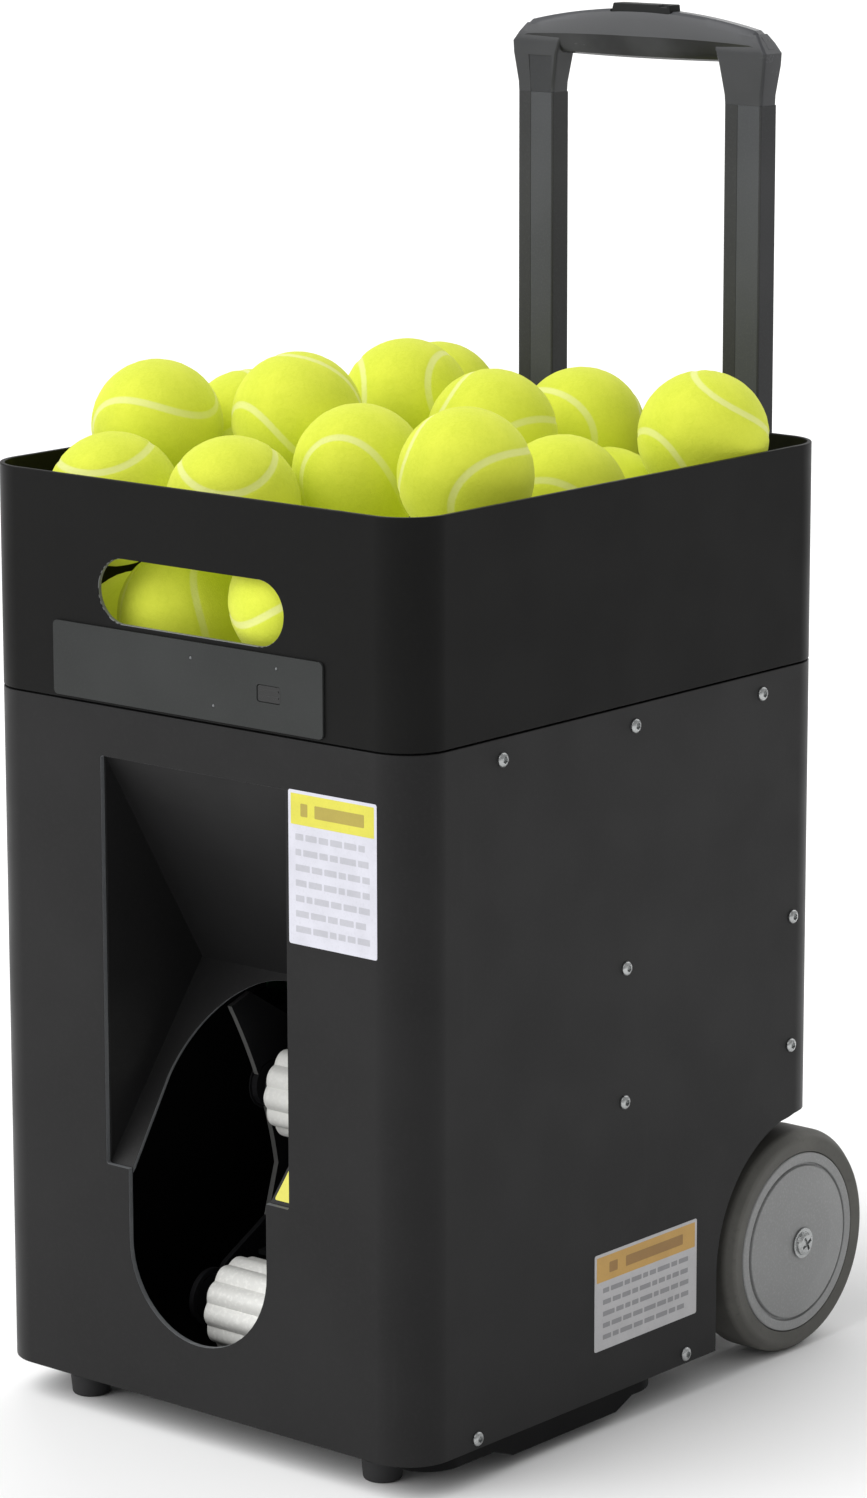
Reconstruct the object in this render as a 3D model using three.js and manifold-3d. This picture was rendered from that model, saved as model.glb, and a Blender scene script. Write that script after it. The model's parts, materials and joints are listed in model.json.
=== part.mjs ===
// Tennis ball machine: a portable ball launcher on wheels with a trolley handle.
// Millimetres. x to the right, y backwards from the front, z up, ground at z = 0.
// Inside the `machine` group y is measured from the front wall and z from the housing's lower edge.

import * as THREE from 'three';
import { mergeVertices } from 'three/addons/utils/BufferGeometryUtils.js';
import Module from 'manifold-3d';

const wasm = await Module();
wasm.setup();

// ---------------------------------------------------------------- driving dimensions

const GAP = 0.3;

const BODY = { width: 280, depth: 326, height: 460, seam: 349, corner: 24, clearance: 18 };
const WALL = { lower: 3, upper: 2.5, seamGap: 0.8 };
const SLOT = { halfWidth: 60, low: 390, high: 422 };
const PLATE = { left: -90, right: 85.5, low: 350.5, high: 387.4, proud: 1.3, corner: 5 };
const SENSOR = { x: 51.5, z: 368, width: 15, height: 8.5 };

const RECESS = { halfWidth: 60.5, top: 323, bend: 116, deepY: 71.5, deepZ: 208, sheet: 2 };
const MOUTH = { radius: 45.5, low: 79.5, archRadius: 49.2, archZ: 156 };

const WHEEL = { y: 308, z: 41, radius: 59, width: 30, hubRadius: 47.2, outerX: 140 };
const ARCH = { radius: 71, innerX: 104, sheet: 2 };
const AXLE_RADIUS = 5;

const BASE = { top: 2.4, low: 0.4, halfWidth: 136.6 };
const PAN = { front: 15, back: 197, halfWidth: 137.8, low: -6.5, sheet: 2 };
const CHANNEL = { topFront: 62, topBack: 171, lowFront: 77, lowBack: 158, low: -12 };
const FOOT = { x: 98, y: 25, topRadius: 10.5, lowRadius: 9.5 };

const DIAL = { y: 163, radius: 102, low: 296, high: 326, pockets: 5, pitch: 69, pocketRadius: 35.5 };
const WELL = { radius: 107, floor: 290, sheet: 2.5, rim: 325 };
const TRAY = {
  halfWidth: 136.6, skirtLow: 328, skirtHigh: 374, skirt: 2, funnelRadius: 230, funnelRise: 29.4,
};

const PIVOT = { y: 125, z: 92 };
const ROLLER = { radius: 24.5, lobes: 12, lobeDepth: 2.2, halfWidth: 21, shoulder: 2.5 };
const LOWER_ROLLER = { y: 50.3, z: 39 };
const UPPER_ROLLER = { y: 96, z: 141 };
const CHEEK = { inner: 36, outer: 39, boss: 15 };
const CHEEK_OUTLINE = {
  frontTop: [66, 187], frontControl: [93, 140], frontMiddle: [100, 98], throat: [92, 72], chin: [60, 55],
  heel: [112, 24], heelControl: [144, 40], backLow: [144, 92], backHigh: [144, 152],
  shoulderControl: [142, 162], shoulder: [128, 162], crown: [80, 192],
};
const BALL_GUIDE = { front: [84, 56], control: [120, 56], back: [148, 70], sheet: 2.5 };
const ROLLER_MOTOR = { radius: 22, boss: 12, length: 56 };
const SHAFT_RADIUS = 3;
const FEEDER_SHAFT_RADIUS = 4;
const FEEDER_MOTOR = { radius: 25, rearRadius: 18, gearbox: 26, length: 62 };
const PIN = { radius: 5, head: 8 };
const BRACKET = { inner: 42, outer: 45, front: 108, back: 142, top: 106, foot: 18 };
const TIE_RODS = { tie_rod_upper: [134, 150], tie_rod_lower: [105, 34] };

const GEAR = { module: 2, sectorTeeth: 60, pinionTeeth: 10, near: 39.6, far: 43.6 };
const SECTOR = { from: 36, to: 90, inner: 30 };
const PINION_ANGLE = 60;
const TILT_BRACKET = { inner: 46, outer: 48, front: 144, back: 176, top: 176 };
const TILT_MOTOR = { radius: 18, rearRadius: 15, boss: 8, gearbox: 22, length: 52 };

const CHUTE = { inner: 36, outer: 38.5, top: 289.5, bendZ: 200, bendRadius: 95, bendAngle: 75 };

const TUBE = { x: 68, y: 351.5, width: 24, depth: 13.2, wall: 1.3, low: 300, high: 622.7 };
const OUTER_TUBE = { width: 29.6, depth: 18.8, wall: 1.8, low: 96, high: 450 };
const TUBE_BRACKETS = { upper: [428, 449], lower: [98, 119] };
const GRIP = { legLow: 623, legInner: 56, legOuter: 80, shoulder: 83, under: 645, crown: 669, depth: 15.2,
  plugLow: 606 };
const BUTTON = { halfWidth: 20, depth: 9, travel: 4, proud: 2.5 };

const BATTERY = { halfWidth: 95, front: 186, back: 290, height: 60 };
const BOARD = { front: 190, back: 290, low: 130, high: 230 };

const COVER = { halfWidth: 50, low: 126, high: 318, thick: 2 };
const SWITCH = { x: -20, z: 268, width: 24, height: 16, throwAngle: 6 };
const SOCKET = { x: 22, z: 268, radius: 9, bore: 4.2 };

// ---------------------------------------------------------------- materials

function material(color, roughness, metalness) {
  return new THREE.MeshStandardMaterial({ color, roughness, metalness });
}

const HOUSING_BLACK = material(0x36373a, 0.55, 0.1);
const SHELL_BLACK = material(0x26272a, 0.55, 0.1);
const DARK_PLASTIC = material(0x1d1e20, 0.6, 0);
const GREY_PLATE = material(0x48494b, 0.4, 0);
const BLACK_GLOSS = material(0x101113, 0.15, 0);
const RUBBER = material(0x1b1b1c, 0.9, 0);
const TYRE_RUBBER = material(0x4c4a45, 0.85, 0);
const HUB_GREY = material(0x7e8282, 0.5, 0);
const ROLLER_WHITE = material(0xd2d2cb, 0.55, 0);
const HANDLE_BLACK = material(0x35373a, 0.35, 0.5);
const STEEL = material(0xb4b6b8, 0.3, 0.9);
const BLACK_STEEL = material(0x1a1b1d, 0.5, 0.6);
const MOTOR_GREY = material(0x8b8d90, 0.4, 0.8);
const BATTERY_BLUE = material(0x23303f, 0.6, 0);
const BOARD_GREEN = material(0x1d4a2d, 0.5, 0);
const DIAL_GREY = material(0x5a5c5e, 0.6, 0);

// ---------------------------------------------------------------- joining and cutting

function bodyOf(geometry) {
  const bare = geometry.clone();
  bare.deleteAttribute('normal');
  bare.deleteAttribute('uv');
  const merged = mergeVertices(bare, 1e-4);
  const corners = merged.index.array;
  const triangles = [];
  for (let i = 0; i < corners.length; i += 3) {
    const [a, b, c] = corners.slice(i, i + 3);
    if (a !== b && b !== c && c !== a) triangles.push(a, b, c);
  }
  const mesh = new wasm.Mesh({
    numProp: 3,
    vertProperties: new Float32Array(merged.attributes.position.array),
    triVerts: new Uint32Array(triangles),
  });
  return new wasm.Manifold(mesh);
}

function geometryOf(body) {
  const mesh = body.getMesh();
  const geometry = new THREE.BufferGeometry();
  geometry.setAttribute('position', new THREE.BufferAttribute(mesh.vertProperties, 3));
  geometry.setIndex(new THREE.BufferAttribute(mesh.triVerts, 1));
  geometry.computeVertexNormals();
  return geometry;
}

function join(first, ...others) {
  return geometryOf(others.reduce((sum, piece) => sum.add(bodyOf(piece)), bodyOf(first)));
}

function cut(first, ...tools) {
  return geometryOf(tools.reduce((rest, tool) => rest.subtract(bodyOf(tool)), bodyOf(first)));
}

function overlap(first, second) {
  return geometryOf(bodyOf(first).intersect(bodyOf(second)));
}

// ---------------------------------------------------------------- outlines and basic solids

const X_AXIS = new THREE.Vector3(1, 0, 0);
const Y_AXIS = new THREE.Vector3(0, 1, 0);
const Z_AXIS = new THREE.Vector3(0, 0, 1);

function turned(geometry, xDirection, yDirection, zDirection) {
  return geometry.applyMatrix4(new THREE.Matrix4().makeBasis(xDirection, yDirection, zDirection));
}

function extruded(shape, depth, curveSegments) {
  return new THREE.ExtrudeGeometry(shape, { depth, curveSegments, bevelEnabled: false });
}

// An outline in (x, y), raised from z = low to z = high.
function prismZ(shape, low, high, curveSegments = 3) {
  return extruded(shape, high - low, curveSegments).translate(0, 0, low);
}

// An outline in (y, z), carried from x = from to x = to.
function prismX(shape, from, to, curveSegments = 4) {
  return turned(extruded(shape, to - from, curveSegments), Y_AXIS, Z_AXIS, X_AXIS).translate(from, 0, 0);
}

// An outline in (x, z), carried from y = front to y = back.
function prismY(shape, front, back, curveSegments = 4) {
  const minusY = new THREE.Vector3(0, -1, 0);
  return turned(extruded(shape, back - front, curveSegments), X_AXIS, Z_AXIS, minusY).translate(0, back, 0);
}

function block(x0, x1, y0, y1, z0, z1) {
  const box = new THREE.BoxGeometry(x1 - x0, y1 - y0, z1 - z0);
  return box.translate((x0 + x1) / 2, (y0 + y1) / 2, (z0 + z1) / 2);
}

function polygon(points) {
  return new THREE.Shape(points.map(([u, v]) => new THREE.Vector2(u, v)));
}

function roundedRect(u0, u1, v0, v1, radius) {
  const shape = new THREE.Shape();
  shape.absarc(u1 - radius, v1 - radius, radius, 0, Math.PI / 2, false);
  shape.absarc(u0 + radius, v1 - radius, radius, Math.PI / 2, Math.PI, false);
  shape.absarc(u0 + radius, v0 + radius, radius, Math.PI, 1.5 * Math.PI, false);
  shape.absarc(u1 - radius, v0 + radius, radius, 1.5 * Math.PI, 2 * Math.PI, false);
  return shape;
}

// The body's plan outline, moved inwards by `inset`.
function bodyOutline(inset) {
  const x = BODY.width / 2 - inset;
  return roundedRect(-x, x, inset, BODY.depth - inset, BODY.corner - inset);
}

// The mouth's round lower end, with the hood's wider arch over it or cut off square above the bend.
function mouthOutline(arched) {
  const { radius, low, archRadius, archZ } = MOUTH;
  const shape = new THREE.Shape();
  shape.absarc(0, low, radius, Math.PI, 2 * Math.PI, false);
  if (arched) {
    shape.lineTo(radius, RECESS.bend);
    shape.absarc(0, archZ, archRadius, 0, Math.PI, false);
    shape.lineTo(-radius, RECESS.bend);
  } else {
    shape.lineTo(radius, RECESS.bend + 1);
    shape.lineTo(-radius, RECESS.bend + 1);
  }
  return shape;
}

// A profile of [radius, height] points turned about an axis through the origin.
function lathe(profile, segments) {
  const points = profile.map(([radius, height]) => new THREE.Vector2(radius, height));
  return new THREE.LatheGeometry(points, segments);
}

function latheZ(profile, segments, y = 0) {
  return lathe(profile, segments).rotateX(Math.PI / 2).translate(0, y, 0);
}

// The profile's heights run along +x.
function latheX(profile, segments, y, z) {
  return lathe(profile, segments).rotateZ(-Math.PI / 2).translate(0, y, z);
}

function rodX(radius, from, to, y, z, segments = 12) {
  const rod = new THREE.CylinderGeometry(radius, radius, to - from, segments);
  return rod.rotateZ(-Math.PI / 2).translate((from + to) / 2, y, z);
}

function rodY(radius, from, to, x, z, segments = 12) {
  return new THREE.CylinderGeometry(radius, radius, to - from, segments).translate(x, (from + to) / 2, z);
}

function rodZ(radius, low, high, x, y, segments = 12) {
  const rod = new THREE.CylinderGeometry(radius, radius, high - low, segments);
  return rod.rotateX(Math.PI / 2).translate(x, y, (low + high) / 2);
}

function mirrorX(geometry) {
  const flipped = geometry.clone().scale(-1, 1, 1);
  const index = flipped.index ? Array.from(flipped.index.array)
    : Array.from({ length: flipped.attributes.position.count }, (_, i) => i);
  for (let i = 0; i < index.length; i += 3) {
    [index[i], index[i + 1]] = [index[i + 1], index[i]];
  }
  flipped.setIndex(index);
  return flipped;
}

// ---------------------------------------------------------------- the assembly

const object = new THREE.Group();
const machine = new THREE.Group();
const rearmost = WHEEL.y + WHEEL.radius;
machine.position.set(0, -(rearmost - PLATE.proud) / 2, BODY.clearance);
object.add(machine);

function addPart(name, finish, geometry) {
  const mesh = new THREE.Mesh(geometryOf(bodyOf(geometry)), finish);
  mesh.name = name;
  machine.add(mesh);
}

// The right-hand piece and its mirror image on the left.
function addPair(name, finish, geometry) {
  addPart(`${name}_right`, finish, geometry);
  addPart(`${name}_left`, finish, mirrorX(geometry));
}

// ---------------------------------------------------------------- housing, hood and hopper

function shellWall(wall, low, high) {
  const outline = bodyOutline(0);
  outline.holes.push(bodyOutline(wall));
  return prismZ(outline, low, high);
}

// Round over the wheel and straight down to `low` on both sides of it.
function archOutline(radius, low) {
  const shape = new THREE.Shape();
  shape.moveTo(WHEEL.y - radius, low);
  shape.lineTo(WHEEL.y + radius, low);
  shape.absarc(WHEEL.y, WHEEL.z, radius, 0, Math.PI, false);
  return shape;
}

function lowerHousing() {
  const half = RECESS.halfWidth;
  const arch = prismX(archOutline(ARCH.radius, -1), ARCH.innerX, BODY.width / 2 + 1, 8);
  const mouth = mouthOutline(false);
  const coverMargin = 6;
  const coverHalf = COVER.halfWidth - coverMargin;
  return cut(
    shellWall(WALL.lower, 0, BODY.seam - WALL.seamGap),
    block(-half, half, -1, WALL.lower + 1, RECESS.bend, RECESS.top),
    prismY(mouth, -1, WALL.lower + 1, 8),
    arch,
    mirrorX(arch),
    block(-coverHalf, coverHalf, BODY.depth - WALL.lower - 1, BODY.depth + 1,
      COVER.low + coverMargin, COVER.high - coverMargin),
  );
}

function upperShell() {
  const radius = (SLOT.high - SLOT.low) / 2;
  const slot = roundedRect(-SLOT.halfWidth, SLOT.halfWidth, SLOT.low, SLOT.high, radius);
  return cut(
    shellWall(WALL.upper, BODY.seam, BODY.height),
    prismY(slot, -1, WALL.upper + 1),
    prismY(slot, BODY.depth - WALL.upper - 1, BODY.depth + 1),
  );
}

// A wedge that is open at the front: a sloping ceiling and a leaning plate meet at the deep line.
function wedge(frontY, offset, from, to) {
  const hoodFront = WALL.lower + GAP;
  const ceilingSlope = (RECESS.top - RECESS.deepZ) / (RECESS.deepY - hoodFront);
  const leanSlope = (RECESS.deepZ - RECESS.bend) / (RECESS.deepY - hoodFront);
  const topZ = RECESS.top + offset * Math.hypot(1, ceilingSlope);
  const lowZ = RECESS.bend - offset * Math.hypot(1, leanSlope);
  const depth = (topZ - lowZ) / (ceilingSlope + leanSlope);
  const forward = hoodFront - frontY;
  return prismX(polygon([
    [frontY, topZ + forward * ceilingSlope],
    [frontY, lowZ - forward * leanSlope],
    [hoodFront + depth, lowZ + depth * leanSlope],
  ]), from, to);
}

function launchHood() {
  const hoodFront = WALL.lower + GAP;
  const outerX = RECESS.halfWidth + RECESS.sheet;
  const innerX = RECESS.halfWidth;
  const flangeReach = 10;
  const flange = block(innerX + 0.5, outerX + flangeReach, hoodFront, hoodFront + RECESS.sheet,
    RECESS.bend, RECESS.top - 3);
  const shell = join(wedge(hoodFront, RECESS.sheet, -outerX, outerX), flange, mirrorX(flange));
  const mouth = mouthOutline(true);
  return cut(shell, wedge(hoodFront - 1, 0, -innerX, innerX), prismY(mouth, -1, RECESS.deepY + 10, 8));
}

// Round well with a drop hole, and a funnel that spreads to the square walls.
function hopperTray() {
  const { radius, floor, sheet, rim } = WELL;
  const { funnelRadius, funnelRise, halfWidth, skirt } = TRAY;
  const shaftHole = 6;
  const funnel = latheZ([
    [shaftHole, floor], [radius + sheet, floor], [radius + sheet, rim - sheet],
    [funnelRadius, rim + funnelRise - sheet], [funnelRadius, rim + funnelRise],
    [radius, rim], [radius, floor + sheet], [shaftHole, floor + sheet], [shaftHole, floor],
  ], 24, DIAL.y);
  const inset = BODY.width / 2 - halfWidth;
  const plan = prismZ(bodyOutline(inset), floor - 1, TRAY.skirtHigh);
  const skirtOutline = bodyOutline(inset);
  skirtOutline.holes.push(bodyOutline(inset + skirt));
  const body = join(overlap(funnel, plan), prismZ(skirtOutline, TRAY.skirtLow, TRAY.skirtHigh));
  return cut(body, rodZ(CHUTE.inner, floor - 1, floor + sheet + 1, 0, DIAL.y + DIAL.pitch, 16));
}

function namePlate() {
  const outline = roundedRect(PLATE.left, PLATE.right, PLATE.low, PLATE.high, PLATE.corner);
  const { x, z, width, height } = SENSOR;
  const window = roundedRect(x - width / 2, x + width / 2, z - height / 2, z + height / 2, 1.5);
  return cut(prismY(outline, -PLATE.proud, -GAP, 2), prismY(window, -PLATE.proud - 1, 1, 2));
}

function sensorWindow() {
  const { x, z, width, height } = SENSOR;
  const w = width / 2 - GAP;
  const h = height / 2 - GAP;
  return prismY(roundedRect(x - w, x + w, z - h, z + h, 1.2), -PLATE.proud, -GAP, 2);
}

addPart('lower_housing', HOUSING_BLACK, lowerHousing());
addPart('upper_shell', SHELL_BLACK, upperShell());
addPart('launch_hood', HOUSING_BLACK, launchHood());
addPart('hopper_tray', DARK_PLASTIC, hopperTray());
addPart('name_plate', GREY_PLATE, namePlate());
addPart('sensor_window', BLACK_GLOSS, sensorWindow());

// ---------------------------------------------------------------- base, pan and feet

function basePlate() {
  const inset = BODY.width / 2 - BASE.halfWidth;
  const plate = prismZ(bodyOutline(inset), BASE.low, BASE.top);
  const wheelRoom = ARCH.innerX - ARCH.sheet - GAP;
  const front = WHEEL.y - ARCH.radius;
  const notch = block(wheelRoom, BODY.width, front, BODY.depth, -1, BASE.top + 1);
  return cut(plate, notch, mirrorX(notch));
}

// A shallow tray below the housing with a channel pressed across it.
function basePan() {
  const { front, back, halfWidth, low, sheet } = PAN;
  const top = -GAP;
  const channel = (grow) => polygon([
    [CHANNEL.topFront + grow, low + sheet + 1], [CHANNEL.topFront + grow, low + grow],
    [CHANNEL.lowFront + grow, CHANNEL.low + grow], [CHANNEL.lowBack - grow, CHANNEL.low + grow],
    [CHANNEL.topBack - grow, low + grow], [CHANNEL.topBack - grow, low + sheet + 1],
  ]);
  const outer = join(
    prismZ(roundedRect(-halfWidth, halfWidth, front, back, 20), low, top),
    prismX(channel(0), -halfWidth, halfWidth),
  );
  const inner = halfWidth - sheet;
  return cut(
    outer,
    prismZ(roundedRect(-inner, inner, front + sheet, back - sheet, 18), low + sheet, top + 1),
    prismX(channel(sheet), -inner, inner),
  );
}

addPart('base_plate', BLACK_STEEL, basePlate());
addPart('base_pan', BLACK_STEEL, basePan());
addPair('front_foot', RUBBER, latheZ([
  [0, -BODY.clearance], [FOOT.lowRadius, -BODY.clearance], [FOOT.topRadius, PAN.low - GAP],
  [0, PAN.low - GAP],
], 16, FOOT.y).translate(FOOT.x, 0, 0));

// ---------------------------------------------------------------- wheels and axle

// Sheet lining between a wheel and the inside of the machine, which also carries the axle.
function wheelWell() {
  const { radius, innerX, sheet } = ARCH;
  const inside = BODY.width / 2 - WALL.lower - GAP;
  const outer = prismX(archOutline(radius - GAP, BASE.low), innerX - sheet, inside, 7);
  const hollow = prismX(archOutline(radius - GAP - sheet, -1), innerX, inside + 1, 7);
  const within = prismZ(bodyOutline(WALL.lower + GAP), -1, BODY.seam);
  return cut(overlap(outer, within), hollow, rodX(AXLE_RADIUS + 2 * GAP, 0, innerX + 1, WHEEL.y, WHEEL.z));
}

function tyre() {
  const { radius, hubRadius, width, outerX } = WHEEL;
  const inner = hubRadius + GAP;
  const near = outerX - width;
  return latheX([
    [inner, near + 2], [radius - 5, near], [radius, near + 6], [radius, outerX - 6],
    [radius - 5, outerX], [inner, outerX - 1], [inner, near + 2],
  ], 24, WHEEL.y, WHEEL.z);
}

// Rim with a disc that is slightly domed towards its bore.
function hub() {
  const { hubRadius, width, outerX } = WHEEL;
  const bore = AXLE_RADIUS + GAP;
  const near = outerX - width + 4;
  const grooveRadius = 41;
  return latheX([
    [bore, near - 1], [12, near - 1], [14, near + 8], [hubRadius, near + 8], [hubRadius, outerX - 1.2],
    [grooveRadius, outerX - 1.2], [14, outerX + 1.7], [bore, outerX + 2], [bore, near - 1],
  ], 24, WHEEL.y, WHEEL.z);
}

// Cross-recess screw and washer over the hub's domed middle, at the end of the axle.
function axleScrew() {
  const seat = WHEEL.outerX + 2.4;
  return latheX([[0, seat], [8, seat], [8, seat + 1.1], [6.5, seat + 1.1], [5.2, seat + 2.5], [0, seat + 3.2]],
    14, WHEEL.y, WHEEL.z);
}

addPair('wheel_well', BLACK_STEEL, wheelWell());
addPair('tyre', TYRE_RUBBER, tyre());
addPair('hub', HUB_GREY, hub());
addPair('axle_screw', STEEL, axleScrew());
const axleEnd = WHEEL.outerX + 1.8;
addPart('axle', STEEL, rodX(AXLE_RADIUS, -axleEnd, axleEnd, WHEEL.y, WHEEL.z));

// ---------------------------------------------------------------- ball feeder

// A star wheel: each pocket carries one ball round to the drop hole.
function feederDial() {
  const { y, radius, low, high, pockets, pitch, pocketRadius } = DIAL;
  const bites = Array.from({ length: pockets }, (_, i) => {
    const angle = Math.PI / 2 + i * 2 * Math.PI / pockets;
    return rodZ(pocketRadius, low - 1, high + 1, pitch * Math.cos(angle), y + pitch * Math.sin(angle), 16);
  });
  const bore = rodZ(FEEDER_SHAFT_RADIUS + GAP, low - 1, high + 1, 0, y);
  return cut(rodZ(radius, low, high, 0, y, 32), ...bites, bore);
}

// Cone that keeps balls from resting on the middle of the dial.
function dialCone() {
  const low = DIAL.high + GAP;
  return latheZ([
    [FEEDER_SHAFT_RADIUS + GAP, low], [31, low], [31, low + 2], [20, low + 16], [8, low + 24],
    [0, low + 25], [0, low + 12], [FEEDER_SHAFT_RADIUS + GAP, low + 12], [FEEDER_SHAFT_RADIUS + GAP, low],
  ], 16, DIAL.y);
}

function feederMotor() {
  const { radius, rearRadius, gearbox, length } = FEEDER_MOTOR;
  const top = WELL.floor - GAP;
  const bore = FEEDER_SHAFT_RADIUS + GAP;
  return latheZ([
    [0, top - length], [rearRadius, top - length], [rearRadius, top - gearbox], [radius, top - gearbox],
    [radius, top], [bore, top], [bore, top - 10], [0, top - 10],
  ], 18, DIAL.y);
}

// Down from the drop hole, then round to point forwards at the launch head.
class ChutePath extends THREE.Curve {
  getPoint(t) {
    const { top, bendZ, bendRadius, bendAngle } = CHUTE;
    const straight = top - bendZ;
    const bend = THREE.MathUtils.degToRad(bendAngle);
    const along = t * (straight + bendRadius * bend);
    const y = DIAL.y + DIAL.pitch;
    if (along <= straight) return new THREE.Vector3(0, y, top - along);
    const angle = (along - straight) / bendRadius;
    const back = bendRadius * (1 - Math.cos(angle));
    return new THREE.Vector3(0, y - back, bendZ - bendRadius * Math.sin(angle));
  }
}

function feedChute() {
  const section = new THREE.Shape();
  section.absarc(0, 0, CHUTE.outer, 0, 2 * Math.PI, false);
  const hole = new THREE.Path();
  hole.absarc(0, 0, CHUTE.inner, 0, 2 * Math.PI, true);
  section.holes.push(hole);
  return new THREE.ExtrudeGeometry(section, {
    steps: 7, curveSegments: 7, bevelEnabled: false, extrudePath: new ChutePath(),
  });
}

addPart('feeder_dial', DIAL_GREY, feederDial());
addPart('dial_cone', DIAL_GREY, dialCone());
addPart('feeder_shaft', STEEL, rodZ(FEEDER_SHAFT_RADIUS, WELL.floor - 8, DIAL.high + 8, 0, DIAL.y));
addPart('feeder_motor', MOTOR_GREY, feederMotor());
addPart('feed_chute', DARK_PLASTIC, feedChute());

// ---------------------------------------------------------------- launch head

// Side plate that carries both rollers; its hollow front edge leaves the balls' way out open.
function cheekPlate() {
  const edge = CHEEK_OUTLINE;
  const shape = new THREE.Shape();
  shape.moveTo(...edge.frontTop);
  shape.quadraticCurveTo(...edge.frontControl, ...edge.frontMiddle);
  shape.lineTo(...edge.throat);
  shape.lineTo(...edge.chin);
  shape.absarc(LOWER_ROLLER.y, LOWER_ROLLER.z, CHEEK.boss, Math.PI / 3, 1.5 * Math.PI, false);
  shape.lineTo(...edge.heel);
  shape.quadraticCurveTo(...edge.heelControl, ...edge.backLow);
  shape.lineTo(...edge.backHigh);
  shape.quadraticCurveTo(...edge.shoulderControl, ...edge.shoulder);
  shape.lineTo(...edge.crown);
  const { boss } = ROLLER_MOTOR;
  const { inner, outer } = CHEEK;
  const hole = (radius, y, z) => rodX(radius, inner - 1, outer + 1, y, z, 16);
  return cut(
    prismX(shape, inner, outer, 4),
    hole(boss + GAP, LOWER_ROLLER.y, LOWER_ROLLER.z),
    hole(boss + GAP, UPPER_ROLLER.y, UPPER_ROLLER.z),
    hole(PIN.radius + GAP, PIVOT.y, PIVOT.z),
  );
}

function rollerMotor({ y, z }) {
  const { radius, boss, length } = ROLLER_MOTOR;
  const face = CHEEK.outer + GAP;
  const bore = SHAFT_RADIUS + GAP;
  return latheX([
    [bore, CHEEK.inner], [boss, CHEEK.inner], [boss, face], [radius, face], [radius, face + length],
    [9, face + length], [9, face + length + 4], [0, face + length + 4], [0, face + 10],
    [bore, face + 10], [bore, CHEEK.inner],
  ], 14, y, z);
}

// Flanged bearing in the left-hand side plate.
function rollerBearing({ y, z }) {
  const { inner, outer } = CHEEK;
  const bore = SHAFT_RADIUS + GAP;
  const { boss } = ROLLER_MOTOR;
  return latheX([
    [bore, -outer - 0.9], [boss + 1.5, -outer - 0.9], [boss + 1.5, -outer - GAP], [boss, -outer - GAP],
    [boss, -inner], [bore, -inner], [bore, -outer - 0.9],
  ], 16, y, z);
}

// Ribbed roller with rounded shoulders.
function roller({ y, z }) {
  const { radius, lobes, lobeDepth, halfWidth, shoulder } = ROLLER;
  const mean = radius - lobeDepth / 2 - shoulder;
  const points = Array.from({ length: lobes * 2 }, (_, i) => {
    const angle = i * Math.PI / lobes;
    const r = mean + lobeDepth / 2 * Math.cos(lobes * angle);
    return [r * Math.cos(angle), r * Math.sin(angle)];
  });
  const barrel = new THREE.ExtrudeGeometry(polygon(points), {
    depth: 2 * (halfWidth - shoulder), bevelEnabled: true, bevelThickness: shoulder, bevelSize: shoulder,
    bevelSegments: 2,
  });
  barrel.translate(0, 0, shoulder - halfWidth);
  const placed = turned(barrel, Y_AXIS, Z_AXIS, X_AXIS).translate(0, y, z);
  return cut(placed, rodX(SHAFT_RADIUS + GAP, -halfWidth - 1, halfWidth + 1, y, z));
}

// Shaft with a collar between the bearing and the roller.
function rollerShaft({ y, z }) {
  const collar = 7;
  const start = -CHEEK.outer - 2.5;
  const end = CHEEK.outer + 6;
  const collarEnd = -ROLLER.halfWidth - GAP;
  const collarStart = -CHEEK.inner + 1;
  return latheX([
    [0, start], [SHAFT_RADIUS, start], [SHAFT_RADIUS, collarStart], [collar, collarStart],
    [collar, collarEnd], [SHAFT_RADIUS, collarEnd], [SHAFT_RADIUS, end], [0, end],
  ], 12, y, z);
}

// Headed pin through a bracket and the side plate beside it.
function pivotPin() {
  const headFrom = BRACKET.outer + GAP;
  return latheX([
    [0, CHEEK.inner + 0.5], [PIN.radius, CHEEK.inner + 0.5], [PIN.radius, headFrom],
    [PIN.head, headFrom], [PIN.head, headFrom + 3], [0, headFrom + 3],
  ], 14, PIVOT.y, PIVOT.z);
}

// Upright plate with a foot that is screwed to the base plate.
function standBracket(inner, outer, front, back, top, foot, holeRadius, holeY, holeZ) {
  const low = BASE.top + GAP;
  const upright = block(inner, outer, front, back, low, top);
  const base = block(outer - 0.5, outer + foot, front, back, low, low + 2.5);
  return cut(join(upright, base), rodX(holeRadius, inner - 1, outer + 1, holeY, holeZ, 14));
}

// Curved floor that leads a ball from the chute into the gap between the rollers.
function ballGuide() {
  const half = CHEEK.inner - GAP;
  const { front, control, back, sheet } = BALL_GUIDE;
  const below = ([y, z]) => [y, z - sheet];
  const shape = new THREE.Shape();
  shape.moveTo(...front);
  shape.quadraticCurveTo(...control, ...back);
  shape.lineTo(...below(back));
  shape.quadraticCurveTo(...below(control), ...below(front));
  return prismX(shape, -half, half, 4);
}

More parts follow.
